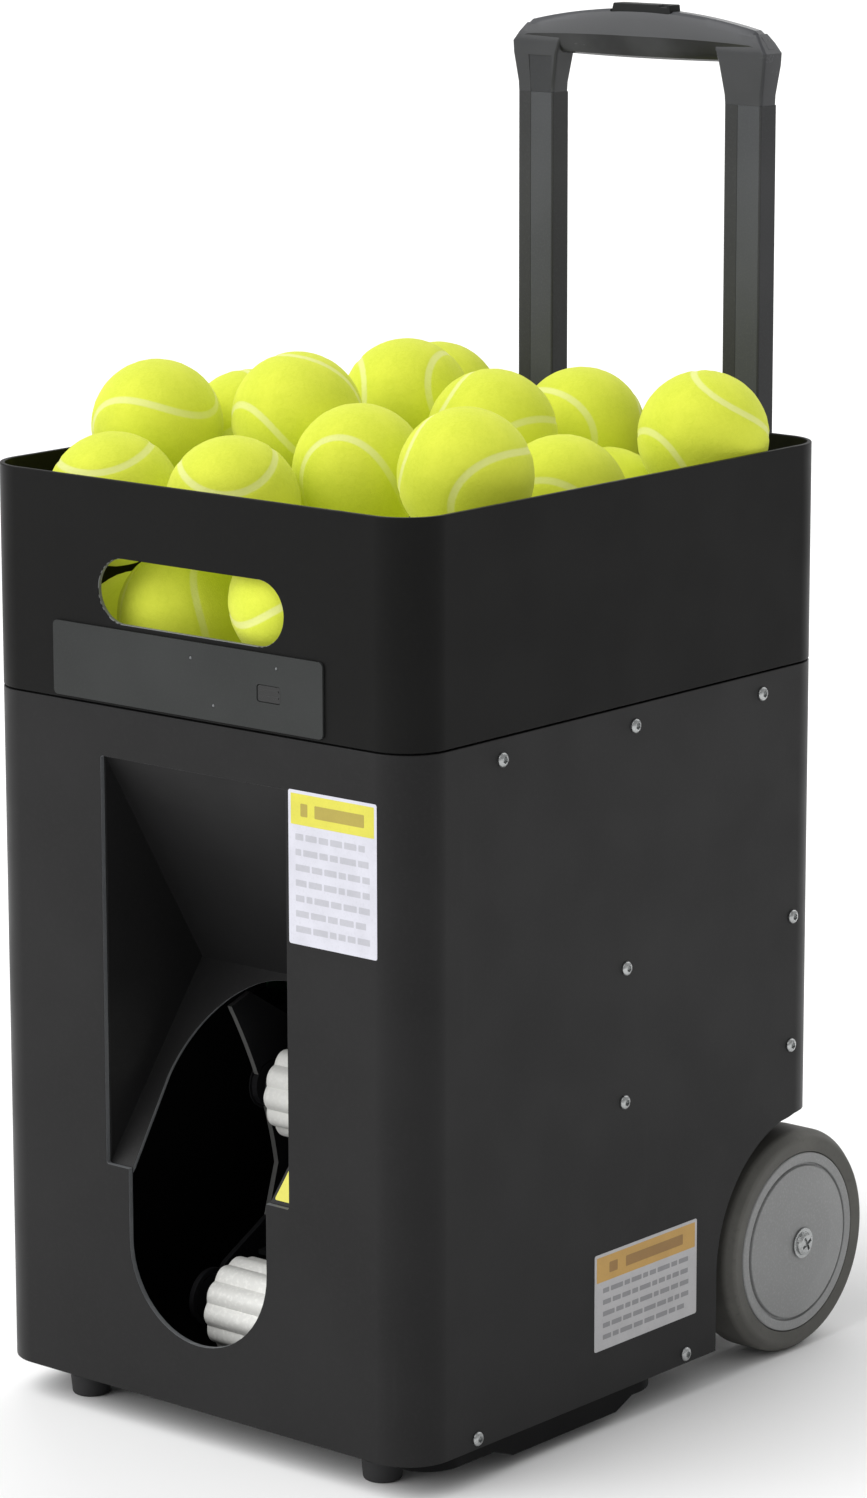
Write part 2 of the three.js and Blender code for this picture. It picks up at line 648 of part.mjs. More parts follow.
addPair('cheek_plate', BLACK_STEEL, cheekPlate());
addPair('pivot_pin', STEEL, pivotPin());
addPair('pivot_bracket', BLACK_STEEL, standBracket(BRACKET.inner, BRACKET.outer, BRACKET.front,
  BRACKET.back, BRACKET.top, BRACKET.foot, PIN.radius + 2 * GAP, PIVOT.y, PIVOT.z));
for (const [name, place] of [['upper', UPPER_ROLLER], ['lower', LOWER_ROLLER]]) {
  addPart(`roller_${name}`, ROLLER_WHITE, roller(place));
  addPart(`roller_shaft_${name}`, BLACK_STEEL, rollerShaft(place));
  addPart(`roller_motor_${name}`, MOTOR_GREY, rollerMotor(place));
  addPart(`roller_bearing_${name}`, BLACK_STEEL, rollerBearing(place));
}
for (const [name, [y, z]] of Object.entries(TIE_RODS)) {
  addPart(name, STEEL, rodX(4, GAP - CHEEK.inner, CHEEK.inner - GAP, y, z, 12));
}
addPart('ball_guide', DARK_PLASTIC, ballGuide());

// ---------------------------------------------------------------- elevation drive

// Trapezoid teeth from `from` to `to` degrees, thinner than half the pitch for backlash.
function gearOutline(teeth, from, to) {
  const pitchRadius = GEAR.module * teeth / 2;
  const root = pitchRadius - 1.25 * GEAR.module;
  const tip = pitchRadius + 0.8 * GEAR.module;
  const step = 2 * Math.PI / teeth;
  const count = Math.round(THREE.MathUtils.degToRad(to - from) / step);
  const start = THREE.MathUtils.degToRad(from);
  const points = [];
  for (let i = 0; i < count; i += 1) {
    const middle = start + (i + 0.5) * step;
    for (const [radius, share] of [[root, -0.32], [tip, -0.12], [tip, 0.12], [root, 0.32]]) {
      const angle = middle + share * step;
      points.push([radius * Math.cos(angle), radius * Math.sin(angle)]);
    }
  }
  return points;
}

function tiltSector() {
  const teeth = gearOutline(GEAR.sectorTeeth, SECTOR.from, SECTOR.to);
  const inside = [SECTOR.to, (SECTOR.to + SECTOR.from) / 2, SECTOR.from].map((degrees) => {
    const angle = THREE.MathUtils.degToRad(degrees);
    return [SECTOR.inner * Math.cos(angle), SECTOR.inner * Math.sin(angle)];
  });
  return prismX(polygon([...teeth, ...inside]), -GEAR.far, -GEAR.near).translate(0, PIVOT.y, PIVOT.z);
}

const pinionReach = GEAR.module * (GEAR.sectorTeeth + GEAR.pinionTeeth) / 2;
const pinionAngle = THREE.MathUtils.degToRad(PINION_ANGLE);
const PINION = {
  y: PIVOT.y + pinionReach * Math.cos(pinionAngle),
  z: PIVOT.z + pinionReach * Math.sin(pinionAngle),
};

// Turned so that a gap between its teeth faces the sector's tooth.
function tiltPinion() {
  const pitchDegrees = 360 / GEAR.pinionTeeth;
  const sectorPitch = 360 / GEAR.sectorTeeth;
  const toothOffset = ((PINION_ANGLE - SECTOR.from) / sectorPitch - 0.5) % 1;
  const facing = PINION_ANGLE + 180 + toothOffset * pitchDegrees;
  const gear = prismX(polygon(gearOutline(GEAR.pinionTeeth, facing, facing + 360)), -GEAR.far, -GEAR.near);
  const stub = rodX(SHAFT_RADIUS, -56, -GEAR.far + 0.5, PINION.y, PINION.z);
  return join(gear.translate(0, PINION.y, PINION.z), stub);
}

function tiltMotor() {
  const { radius, rearRadius, boss, gearbox, length } = TILT_MOTOR;
  const face = TILT_BRACKET.outer + GAP;
  const bore = SHAFT_RADIUS + GAP;
  return latheX([
    [0, -face - length], [rearRadius, -face - length], [rearRadius, -face - gearbox],
    [radius, -face - gearbox], [radius, -face], [boss, -face], [boss, -face + 2], [bore, -face + 2],
    [bore, -face - 12], [0, -face - 12],
  ], 16, PINION.y, PINION.z);
}

addPart('tilt_sector', STEEL, tiltSector());
addPart('tilt_pinion', STEEL, tiltPinion());
addPart('tilt_motor', MOTOR_GREY, tiltMotor());
addPart('tilt_motor_bracket', BLACK_STEEL, mirrorX(standBracket(TILT_BRACKET.inner, TILT_BRACKET.outer,
  TILT_BRACKET.front, TILT_BRACKET.back, TILT_BRACKET.top, BRACKET.foot, TILT_MOTOR.boss + 2 * GAP,
  PINION.y, PINION.z)));

// ---------------------------------------------------------------- battery, board and rear panel

function batteryTray() {
  const { halfWidth, front, back } = BATTERY;
  const low = BASE.top + GAP;
  const wall = 2;
  const margin = wall + GAP;
  return cut(
    block(-halfWidth - margin, halfWidth + margin, front - margin, back + margin, low, low + 18),
    block(-halfWidth - GAP, halfWidth + GAP, front - GAP, back + GAP, low + wall, low + 20),
  );
}

function batteryPack() {
  const { halfWidth, front, back, height } = BATTERY;
  const low = BASE.top + 2 + 2 * GAP;
  return prismX(roundedRect(front, back, low, low + height, 4), -halfWidth, halfWidth, 2);
}

// Board on four posts that stand on the left wall.
function controlBoard() {
  const wall = -BODY.width / 2 + WALL.lower + GAP;
  const face = wall + 12;
  const { front, back, low, high } = BOARD;
  const postInset = 6;
  const posts = [front + postInset, back - postInset].flatMap((y) => (
    [low + postInset, high - postInset].map((z) => rodX(3, wall, face + 0.5, y, z, 8))
  ));
  const capacitor = rodX(8, face + 1, face + 20, front + 26, low + 26, 10);
  const relay = block(face + 1, face + 16, back - 45, back - 20, high - 40, high - 18);
  const terminals = block(face + 1, face + 12, front + 20, back - 20, low + 4, low + 13);
  return join(block(face, face + 1.6, front, back, low, high), ...posts, capacitor, relay, terminals);
}

function rearCover() {
  const { halfWidth, low, high, thick } = COVER;
  const front = BODY.depth + GAP;
  const plate = prismY(roundedRect(-halfWidth, halfWidth, low, high, 6), front, front + thick, 2);
  const { x, z, width, height } = SWITCH;
  const w = width / 2 + 2 + GAP;
  const h = height / 2 + 2 + GAP;
  return cut(
    plate,
    block(x - w, x + w, front - 1, front + thick + 1, z - h, z + h),
    rodY(SOCKET.radius - 1 + GAP, front - 1, front + thick + 1, SOCKET.x, SOCKET.z, 16),
  );
}

function switchBezel() {
  const { x, z, width, height } = SWITCH;
  const outside = BODY.depth + COVER.thick + 2 * GAP;
  const w = width / 2;
  const h = height / 2;
  const body = block(x - w - 2, x + w + 2, BODY.depth - 12, outside + 0.5, z - h - 2, z + h + 2);
  const flange = prismY(roundedRect(x - w - 4, x + w + 4, z - h - 4, z + h + 4, 2), outside, outside + 2, 2);
  return cut(join(body, flange), block(x - w, x + w, BODY.depth - 10, outside + 4, z - h, z + h));
}

// Rocker that rests with its lower edge out.
function powerRocker() {
  const { x, z, width, height, throwAngle } = SWITCH;
  const pivotY = BODY.depth + COVER.thick;
  const half = height / 2 - 0.8;
  const shape = polygon([
    [-3, -half * 0.6], [2, -half], [4.4, -half], [2.6, 0], [4.4, half], [2, half], [-3, half * 0.6],
  ]);
  const w = width / 2 - 2 * GAP;
  const rocker = prismX(shape, x - w, x + w);
  return rocker.rotateX(THREE.MathUtils.degToRad(throwAngle)).translate(0, pivotY, z);
}

function chargeSocket() {
  const outside = BODY.depth + COVER.thick + 2 * GAP;
  const { x, z, radius, bore } = SOCKET;
  const profile = [
    [0, -14], [radius - 1, -14], [radius - 1, 0], [radius + 1.5, 0], [radius + 1.5, 2.5], [bore, 2.5],
    [bore, -10], [0, -10],
  ];
  return lathe(profile, 16).translate(x, outside, z);
}

addPart('battery_pack', BATTERY_BLUE, batteryPack());
addPart('battery_tray', BLACK_STEEL, batteryTray());
addPart('control_board', BOARD_GREEN, controlBoard());
addPart('rear_cover', DARK_PLASTIC, rearCover());
addPart('switch_bezel', DARK_PLASTIC, switchBezel());
addPart('power_rocker', BLACK_GLOSS, powerRocker());
addPart('charge_socket', STEEL, chargeSocket());

// ---------------------------------------------------------------- trolley handle

function tubeOutline(width, depth, radius) {
  const { x, y } = TUBE;
  return roundedRect(x - width / 2, x + width / 2, y - depth / 2, y + depth / 2, radius);
}

function tube(width, depth, wall, low, high) {
  const outline = tubeOutline(width, depth, 3);
  outline.holes.push(tubeOutline(width - 2 * wall, depth - 2 * wall, 1.6));
  return prismZ(outline, low, high, 1);
}

// Cross-piece that clamps both outer tubes to the rear wall.
function tubeBracket(low, high) {
  const front = BODY.depth + GAP;
  const halfWidth = TUBE.x + OUTER_TUBE.width / 2 + 6;
  const back = TUBE.y + OUTER_TUBE.depth / 2 + 3;
  const outline = roundedRect(-halfWidth, halfWidth, front, back, 3);
  const window = roundedRect(-45, 45, front + 5, back - 5, 3);
  outline.holes.push(window);
  const { width, depth } = OUTER_TUBE;
  const opening = prismZ(tubeOutline(width + 2 * GAP, depth + 2 * GAP, 3), low - 1, high + 1, 1);
  return cut(prismZ(outline, low, high, 1), opening, mirrorX(opening));
}

// Crowned bar with two legs, flush with the tubes, whose plugs fill the tubes' upper ends.
function handleGrip() {
  const { legLow, legInner, legOuter, shoulder, under, crown, depth, plugLow } = GRIP;
  const shape = new THREE.Shape();
  shape.moveTo(-legOuter, legLow);
  shape.lineTo(-legInner, legLow);
  shape.lineTo(-legInner + 2.6, under - 5);
  shape.quadraticCurveTo(-legInner + 3, under, -legInner + 8, under);
  shape.lineTo(legInner - 8, under);
  shape.quadraticCurveTo(legInner - 3, under, legInner - 2.6, under - 5);
  shape.lineTo(legInner, legLow);
  shape.lineTo(legOuter, legLow);
  shape.lineTo(shoulder, under);
  shape.lineTo(shoulder, under + 6);
  shape.quadraticCurveTo(shoulder - 3, under + 14, shoulder - 16, under + 17);
  shape.quadraticCurveTo(0, 2 * crown - under - 17, 16 - shoulder, under + 17);
  shape.quadraticCurveTo(3 - shoulder, under + 14, -shoulder, under + 6);
  shape.lineTo(-shoulder, under);
  const bar = prismY(shape, TUBE.y - depth / 2, TUBE.y + depth / 2, 3);
  const slack = 2 * (TUBE.wall + GAP);
  const plug = prismZ(tubeOutline(TUBE.width - slack, TUBE.depth - slack, 1.4), plugLow, legLow + 3, 1);
  const { halfWidth, depth: buttonDepth, travel } = BUTTON;
  const well = prismZ(roundedRect(-halfWidth - GAP, halfWidth + GAP, TUBE.y - buttonDepth / 2 - GAP,
    TUBE.y + buttonDepth / 2 + GAP, 3), crown - travel - 6, crown + 5, 2);
  return cut(join(bar, plug, mirrorX(plug)), well);
}

function releaseButton() {
  const { halfWidth, depth, travel, proud } = BUTTON;
  const outline = roundedRect(-halfWidth, halfWidth, TUBE.y - depth / 2, TUBE.y + depth / 2, 3);
  return prismZ(outline, GRIP.crown - travel - 1, GRIP.crown + proud, 2);
}

addPair('handle_outer_tube', HANDLE_BLACK,
  tube(OUTER_TUBE.width, OUTER_TUBE.depth, OUTER_TUBE.wall, OUTER_TUBE.low, OUTER_TUBE.high));
addPair('handle_tube', HANDLE_BLACK, tube(TUBE.width, TUBE.depth, TUBE.wall, TUBE.low, TUBE.high));
addPart('upper_tube_bracket', DARK_PLASTIC, tubeBracket(...TUBE_BRACKETS.upper));
addPart('lower_tube_bracket', DARK_PLASTIC, tubeBracket(...TUBE_BRACKETS.lower));
addPart('handle_grip', HANDLE_BLACK, handleGrip());
addPart('release_button', DARK_PLASTIC, releaseButton());

export default object;
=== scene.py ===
import json
import random
from math import copysign, cos, hypot, pi, radians, sin, sqrt, tan

import bmesh
import bpy
from mathutils import Euler, Matrix, Vector
from mathutils.kdtree import KDTree


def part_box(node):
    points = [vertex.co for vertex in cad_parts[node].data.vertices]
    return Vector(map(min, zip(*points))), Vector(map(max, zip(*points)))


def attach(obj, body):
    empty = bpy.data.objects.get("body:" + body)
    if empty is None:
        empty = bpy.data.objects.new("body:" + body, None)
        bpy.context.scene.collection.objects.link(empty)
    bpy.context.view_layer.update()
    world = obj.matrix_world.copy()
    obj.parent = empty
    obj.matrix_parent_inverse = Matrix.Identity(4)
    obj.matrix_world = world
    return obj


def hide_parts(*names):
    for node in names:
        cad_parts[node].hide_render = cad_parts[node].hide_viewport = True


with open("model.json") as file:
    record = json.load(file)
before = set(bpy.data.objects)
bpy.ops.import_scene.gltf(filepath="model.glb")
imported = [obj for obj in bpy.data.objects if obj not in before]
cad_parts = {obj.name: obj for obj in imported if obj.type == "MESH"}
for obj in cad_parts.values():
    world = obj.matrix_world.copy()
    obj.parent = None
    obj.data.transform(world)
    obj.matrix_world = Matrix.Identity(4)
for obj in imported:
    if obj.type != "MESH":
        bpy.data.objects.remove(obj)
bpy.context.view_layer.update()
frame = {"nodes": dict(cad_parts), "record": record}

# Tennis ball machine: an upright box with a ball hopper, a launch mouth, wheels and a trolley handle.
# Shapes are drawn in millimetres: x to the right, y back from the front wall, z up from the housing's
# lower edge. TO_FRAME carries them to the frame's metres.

HOUSING_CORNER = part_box("lower_housing")[0]
MM = 0.001
TO_FRAME = Matrix.Translation((0, HOUSING_CORNER.y, HOUSING_CORNER.z)) @ Matrix.Scale(MM, 4)

# ---------------------------------------------------------------- driving dimensions

WIDTH, DEPTH, HEIGHT, SEAM, CORNER = 280, 326, 460, 349, 24
LOWER_WALL, UPPER_WALL, SEAM_GAP = 3, 2.5, 0.8
SLOT_HALF, SLOT_LOW, SLOT_HIGH = 60, 390, 422
PLATE_X, PLATE_Z, PLATE_PROUD = (-90, 85.5), (350.5, 387.4), 1.3
SENSOR_X, SENSOR_Z, SENSOR_W, SENSOR_H = 51.5, 368, 15, 8.5
RECESS_HALF, RECESS_TOP, RECESS_BEND, DEEP_Y, DEEP_Z = 60.5, 323, 116, 71.5, 208
MOUTH_R, MOUTH_LOW, ARCH_MOUTH_R, ARCH_MOUTH_Z, HOOD_SHEET = 45.5, 79.5, 49.2, 156, 2
WHEEL_Y, WHEEL_Z, WHEEL_R, WHEEL_W, HUB_R, GROOVE_R = 308, 41, 59, 30, 47.2, 41
ARCH_R, ARCH_INNER = 71, 104
FOOT_X, FOOT_Y, FOOT_TOP_R, FOOT_LOW_R, FLOOR = 98, 25, 10.5, 9.5, -18
PAN_FRONT, PAN_BACK, PAN_HALF, PAN_LOW, PAN_SHEET, CHANNEL_LOW = 15, 197, 137.8, -6.5, 2, -12
ROLLERS = {"lower": (50.3, 39), "upper": (96, 141)}
ROLLER_R, ROLLER_HALF, ROLLER_LOBES, ROLLER_LOBE_DEPTH, ROLLER_SHOULDER = 24.9, 21, 12, 2.2, 2.5
CHEEK_INNER, CHEEK_OUTER, CHEEK_BOSS, MOTOR_BOSS, PIN_R, PIVOT = 36, 39, 15, 12, 5, (125, 92)
SHAFT_R = 3
TUBE_X, TUBE_Y, TUBE_W, TUBE_D, TUBE_LOW, TUBE_HIGH = 68, 351.5, 24, 13.2, 300, 622.95
OUTER_W, OUTER_D, OUTER_LOW, OUTER_HIGH = 29.6, 18.8, 96, 450
GRIP_LEG_LOW, GRIP_INNER, GRIP_OUTER, GRIP_SHOULDER = 623, 56, 80, 82.9
GRIP_UNDER, GRIP_CROWN = 643.4, 668.8
BUTTON_HALF, BUTTON_D, BUTTON_TOP = 20, 9, 671.5
COVER_HALF, COVER_LOW, COVER_HIGH, COVER_THICK = 50, 126, 318, 2
SWITCH_X, SWITCH_Z, SWITCH_W, SWITCH_H = -20, 268, 24, 16
SOCKET_X, SOCKET_Z, SOCKET_R, SOCKET_BORE = 22, 268, 9, 4.2
BALL_R = 33.1
GAP = 0.3

# ---------------------------------------------------------------- outlines


def arc(centre, radius, start, end, steps):
    """Points on a circle from start to end, in degrees."""
    angles = [radians(start + (end - start) * i / steps) for i in range(steps + 1)]
    return [(centre[0] + radius * cos(a), centre[1] + radius * sin(a)) for a in angles]


def quadratic(start, control, end, steps=10):
    """Points along a curve that leaves start towards control and ends at end, without its start."""
    points = []
    for i in range(1, steps + 1):
        t = i / steps
        weights = ((1 - t) ** 2, 2 * t * (1 - t), t * t)
        points.append(tuple(sum(w * p[k] for w, p in zip(weights, (start, control, end))) for k in (0, 1)))
    return points


def filleted(corners, radii, steps=6):
    """The closed outline through corners, each rounded to its radius."""
    if not hasattr(radii, "__len__"):
        radii = [radii] * len(corners)
    outline = []
    for i, radius in enumerate(radii):
        here = Vector(corners[i])
        back = (Vector(corners[i - 1]) - here).normalized()
        ahead = (Vector(corners[(i + 1) % len(corners)]) - here).normalized()
        half = back.angle(ahead) / 2
        if radius == 0 or half > radians(89.5):
            outline.append(tuple(here))
            continue
        centre = here + (back + ahead).normalized() * radius / sin(half)
        first = here + back * radius / tan(half) - centre
        last = here + ahead * radius / tan(half) - centre
        sweep = first.angle(last)
        for k in range(steps + 1):
            t = k / steps
            spoke = first * sin((1 - t) * sweep) + last * sin(t * sweep)
            outline.append(tuple(centre + spoke / sin(sweep)))
    return outline


def rectangle(u0, u1, v0, v1, radius=0, steps=6):
    return filleted([(u0, v0), (u1, v0), (u1, v1), (u0, v1)], radius, steps)


def plan(inset, steps=18):
    """The box's plan outline, moved inwards."""
    half = WIDTH / 2 - inset
    return rectangle(-half, half, inset, DEPTH - inset, CORNER - inset, steps)


def mouth_outline(arched):
    """The mouth's round lower end, with the hood's wider arch over it or cut off square above the bend."""
    low = arc((0, MOUTH_LOW), MOUTH_R, 180, 360, 28)
    if not arched:
        return low + [(MOUTH_R, RECESS_BEND + 1.5), (-MOUTH_R, RECESS_BEND + 1.5)]
    high = arc((0, ARCH_MOUTH_Z), ARCH_MOUTH_R, 0, 180, 36)
    return low + [(MOUTH_R, RECESS_BEND)] + high + [(-MOUTH_R, RECESS_BEND)]


def arch_outline(radius, low=-1):
    top = arc((WHEEL_Y, WHEEL_Z), radius, 0, 180, 48)
    return [(WHEEL_Y - radius, low), (WHEEL_Y + radius, low)] + top


# ---------------------------------------------------------------- solids, as bmeshes in millimetres

PLACES = {
    "x": lambda u, v, w: (w, u, v),
    "y": lambda u, v, w: (u, w, v),
    "z": lambda u, v, w: (u, v, w),
}


def skin(rings, closed_ring=True, capped=True):
    """Quads between neighbouring rings of points, with a face over each end if capped."""
    solid = bmesh.new()
    made = [[solid.verts.new(p) for p in ring] for ring in rings]
    for a, b in zip(made, made[1:]):
        count = len(a)
        for i in range(count if closed_ring else count - 1):
            solid.faces.new((a[i], a[(i + 1) % count], b[(i + 1) % count], b[i]))
    if capped:
        solid.faces.new(made[0][::-1])
        solid.faces.new(made[-1])
    bmesh.ops.recalc_face_normals(solid, faces=solid.faces)
    return solid


def prism(outline, axis, low, high):
    """The outline in the other two axes, carried along axis."""
    place = PLACES[axis]
    return skin([[place(u, v, w) for u, v in outline] for w in (low, high)])


def block(x0, x1, y0, y1, z0, z1):
    return prism([(x0, y0), (x1, y0), (x1, y1), (x0, y1)], "z", z0, z1)


def tube(outer, inner, axis, low, high):
    """A hollow prism between two outlines with the same number of points."""
    place = PLACES[axis]
    loops = [(outer, low), (outer, high), (inner, high), (inner, low), (outer, low)]
    solid = skin([[place(u, v, w) for u, v in outline] for outline, w in loops], capped=False)
    bmesh.ops.remove_doubles(solid, verts=solid.verts, dist=1e-5)
    bmesh.ops.recalc_face_normals(solid, faces=solid.faces)
    return solid


def lathe(profile, axis, centre, segments=96):
    """The closed profile of (radius, along) points turned about an axis through centre."""
    solid = bmesh.new()
    cx, cy, cz = centre
    put = {
        "x": lambda r, h, c, s: (cx + h, cy + r * c, cz + r * s),
        "y": lambda r, h, c, s: (cx + r * c, cy + h, cz + r * s),
        "z": lambda r, h, c, s: (cx + r * c, cy + r * s, cz + h),
    }[axis]
    angles = [2 * pi * i / segments for i in range(segments)]
    turns = [(cos(a), sin(a)) for a in angles]
    rings = []
    for radius, along in profile:
        spots = turns if radius > 1e-6 else turns[:1]
        rings.append([solid.verts.new(put(radius, along, c, s)) for c, s in spots])
    for a, b in zip(rings, rings[1:] + rings[:1]):
        if len(a) == 1 and len(b) == 1:
            continue
        for i in range(segments):
            k = (i + 1) % segments
            corners = [a[i % len(a)], a[k % len(a)], b[k % len(b)], b[i % len(b)]]
            solid.faces.new(list(dict.fromkeys(corners)))
    bmesh.ops.recalc_face_normals(solid, faces=solid.faces)
    return solid


def shift(x, y, z):
    return Matrix.Translation((x, y, z))


def turned(angle, axis):
    return Matrix.Rotation(radians(angle), 4, axis)


def moved(solid, matrix):
    bmesh.ops.transform(solid, matrix=matrix, verts=solid.verts)
    if matrix.determinant() < 0:
        bmesh.ops.reverse_faces(solid, faces=solid.faces)
    return solid


def mirrored(solid):
    return moved(solid.copy(), Matrix.Scale(-1, 4, (1, 0, 0)))


def together(solids):
    """One bmesh that holds several closed solids."""
    whole = bmesh.new()
    for solid in solids:
        part = bpy.data.meshes.new("part")
        solid.to_mesh(part)
        whole.from_mesh(part)
        bpy.data.meshes.remove(part)
    return whole


def placed(name, data):
    """A new object in the scene."""
    thing = bpy.data.objects.new(name, data)
    bpy.context.scene.collection.objects.link(thing)
    return thing


def temporary(solid):
    mesh = bpy.data.meshes.new("temporary")
    solid.to_mesh(mesh)
    return placed("temporary", mesh)


def discard(thing):
    mesh = thing.data
    bpy.data.objects.remove(thing)
    bpy.data.meshes.remove(mesh)


def applied(thing):
    """The object's mesh with its modifiers applied."""
    shown = thing.evaluated_get(bpy.context.evaluated_depsgraph_get())
    return bpy.data.meshes.new_from_object(shown)


def boolean(solid, tool, operation):
    base, other = temporary(solid), temporary(tool)
    step = base.modifiers.new("boolean", "BOOLEAN")
    step.operation, step.solver, step.object = operation, "EXACT", other
    mesh = applied(base)
    result = bmesh.new()
    result.from_mesh(mesh)
    bpy.data.meshes.remove(mesh)
    discard(base)
    discard(other)
    return result


def cut(solid, *tools):
    for tool in tools:
        solid = boolean(solid, tool, "DIFFERENCE")
    return solid


def joined(solid, *others):
    for other in others:
        solid = boolean(solid, other, "UNION")
    return solid


# ---------------------------------------------------------------- procedural surfaces


class Surface:
    """A Principled material whose colour, roughness and relief are built up from procedural nodes.
    Scales are per metre of the piece's own coordinates."""

    def __init__(self, name, colour, roughness, **values):
        self.material = bpy.data.materials.new(name)
        self.material.use_nodes = True
        self.tree = self.material.node_tree
        self.shader = self.tree.nodes["Principled BSDF"]
        self.colour = colour
        self.roughness = roughness
        self.normal = None
        self.place = self.tree.nodes.new("ShaderNodeTexCoord").outputs["Object"]
        for key, value in values.items():
            self.shader.inputs[key].default_value = value

    def feed(self, socket, value):
        if isinstance(value, bpy.types.NodeSocket):
            self.tree.links.new(value, socket)
        elif hasattr(value, "__len__") and len(value) == 3 and socket.type == "RGBA":
            socket.default_value = (*value, 1)
        else:
            socket.default_value = value

    def add(self, kind, **inputs):
        """A node whose named inputs are set or linked."""
        node = self.tree.nodes.new("ShaderNode" + kind)
        for name, value in inputs.items():
            self.feed(node.inputs[name], value)
        return node

    def where(self, stretch):
        if stretch == (1, 1, 1):
            return self.place
        return self.add("Mapping", Vector=self.place, Scale=stretch).outputs["Vector"]

    def noise(self, scale, stretch=(1, 1, 1), detail=3, rough=0.5, distortion=0):
        node = self.add("TexNoise", Vector=self.where(stretch), Scale=scale, Detail=detail, Roughness=rough,
                        Distortion=distortion)
        return node.outputs["Fac"]

    def cells(self, scale, stretch=(1, 1, 1)):
        return self.add("TexVoronoi", Vector=self.where(stretch), Scale=scale).outputs["Distance"]

    def upward(self):
        """How far the surface faces up: 1 on top, -1 underneath."""
        normal = self.add("NewGeometry").outputs["Normal"]
        return self.add("SeparateXYZ", Vector=normal).outputs["Z"]

    def attribute(self, name):
        node = self.add("Attribute")
        node.attribute_name = name
        return node.outputs["Fac"]

    def between(self, value, low, high, out_low=0.0, out_high=1.0):
        """value from low to high, carried smoothly to out_low and out_high and held there."""
        limits = {"From Min": low, "From Max": high, "To Min": out_low, "To Max": out_high}
        node = self.add("MapRange", Value=value, **limits)
        node.interpolation_type = "SMOOTHSTEP"
        return node.outputs["Result"]

    def maths(self, operation, a, b):
        node = self.add("Math")
        node.operation = operation
        self.feed(node.inputs[0], a)
        self.feed(node.inputs[1], b)
        return node.outputs[0]

    def tint(self, mask, colour):
        """Blends towards another colour where the mask is 1."""
        node = self.add("Mix")
        node.data_type = "RGBA"
        self.feed(node.inputs[0], mask)
        self.feed(node.inputs[6], self.colour)
        self.feed(node.inputs[7], colour)
        self.colour = node.outputs[2]
        return self

    def rougher(self, mask, amount):
        """Adds amount to the roughness where the mask is 1."""
        self.roughness = self.maths("ADD", self.roughness, self.maths("MULTIPLY", mask, amount))
        return self

    def relief(self, height, depth, strength=1.0):
        """Raises the surface by depth millimetres where height is 1."""
        node = self.add("Bump", Strength=strength, Distance=depth * MM, Height=height)
        if self.normal is not None:
            self.feed(node.inputs["Normal"], self.normal)
        self.normal = node.outputs["Normal"]
        return self

    def done(self):
        self.feed(self.shader.inputs["Base Color"], self.colour)
        self.feed(self.shader.inputs["Roughness"], self.roughness)
        if self.normal is not None:
            self.feed(self.shader.inputs["Normal"], self.normal)
        return self.material


def scaled(colour, factor):
    return tuple(min(1.0, c * factor) for c in colour)


def moulded(name, colour, roughness, grain=0.7, depth=0.02, wear=0.5, **values):
    """Textured plastic or coated sheet: soft clouding, a fine grain, faint rubbed streaks and dust."""
    s = Surface(name, colour, roughness, **values)
    s.tint(s.between(s.noise(11, detail=4), 0.35, 0.7), scaled(colour, 1.22))
    s.tint(s.between(s.noise(1000 / grain / 2.5, detail=2), 0.45, 0.75, 0, 0.35), scaled(colour, 1.5))
    streaks = s.between(s.noise(60, (1, 1, 0.12), detail=5, rough=0.65), 0.60, 0.78, 0, wear)
    s.tint(streaks, scaled(colour, 1.75))
    s.rougher(streaks, 0.12)
    s.rougher(s.between(s.noise(26, detail=3), 0.3, 0.7, -0.5, 0.5), 0.09)
    s.relief(s.noise(170, detail=1), depth * 2.2, 0.35)
    s.relief(s.noise(1000 / grain, detail=2, rough=0.6), depth)
    return s.done()


def grip_wear_and_painted_light(name, colour, roughness):
    """Moulded grip: painted light makes the faces that look up lighter, and painted shade darkens those that
    look down.
    """
    s = Surface(name, colour, roughness, **{"Specular IOR Level": 0.2})
    # painted highlight on the faces that look up, painted shade on the faces that look down
    facing = s.upward()
    s.tint(s.between(facing, 0.08, 0.6, 0, 0.8), scaled(colour, 1.7))
    s.tint(s.between(facing, -0.03, -0.3, 0, 0.92), scaled(colour, 0.22))
    s.tint(s.between(s.noise(18, detail=4), 0.35, 0.7, 0, 0.6), scaled(colour, 1.3))
    streaks = s.between(s.noise(70, (0.3, 1, 1), detail=5, rough=0.65), 0.58, 0.78, 0, 0.5)
    s.tint(streaks, scaled(colour, 1.8))
    s.rougher(streaks, 0.14)
    s.relief(s.noise(1600, detail=2, rough=0.6), 0.012)
    return s.done()


def metal(name, colour, roughness, stretch=(1, 1, 1), **values):
    """Machined or drawn metal: fine lines along its working direction and a little dulling."""
    s = Surface(name, colour, roughness, Metallic=1.0, **values)
    lines = s.noise(900, stretch, detail=3, rough=0.7)
    s.tint(s.between(s.noise(35, detail=4), 0.4, 0.75, 0, 0.6), scaled(colour, 0.72))
    s.tint(s.between(lines, 0.35, 0.75, 0, 0.4), scaled(colour, 1.25))
    s.rougher(s.between(lines, 0.3, 0.7, -0.5, 0.5), 0.16)
    s.relief(lines, 0.012, 0.6)
    return s.done()


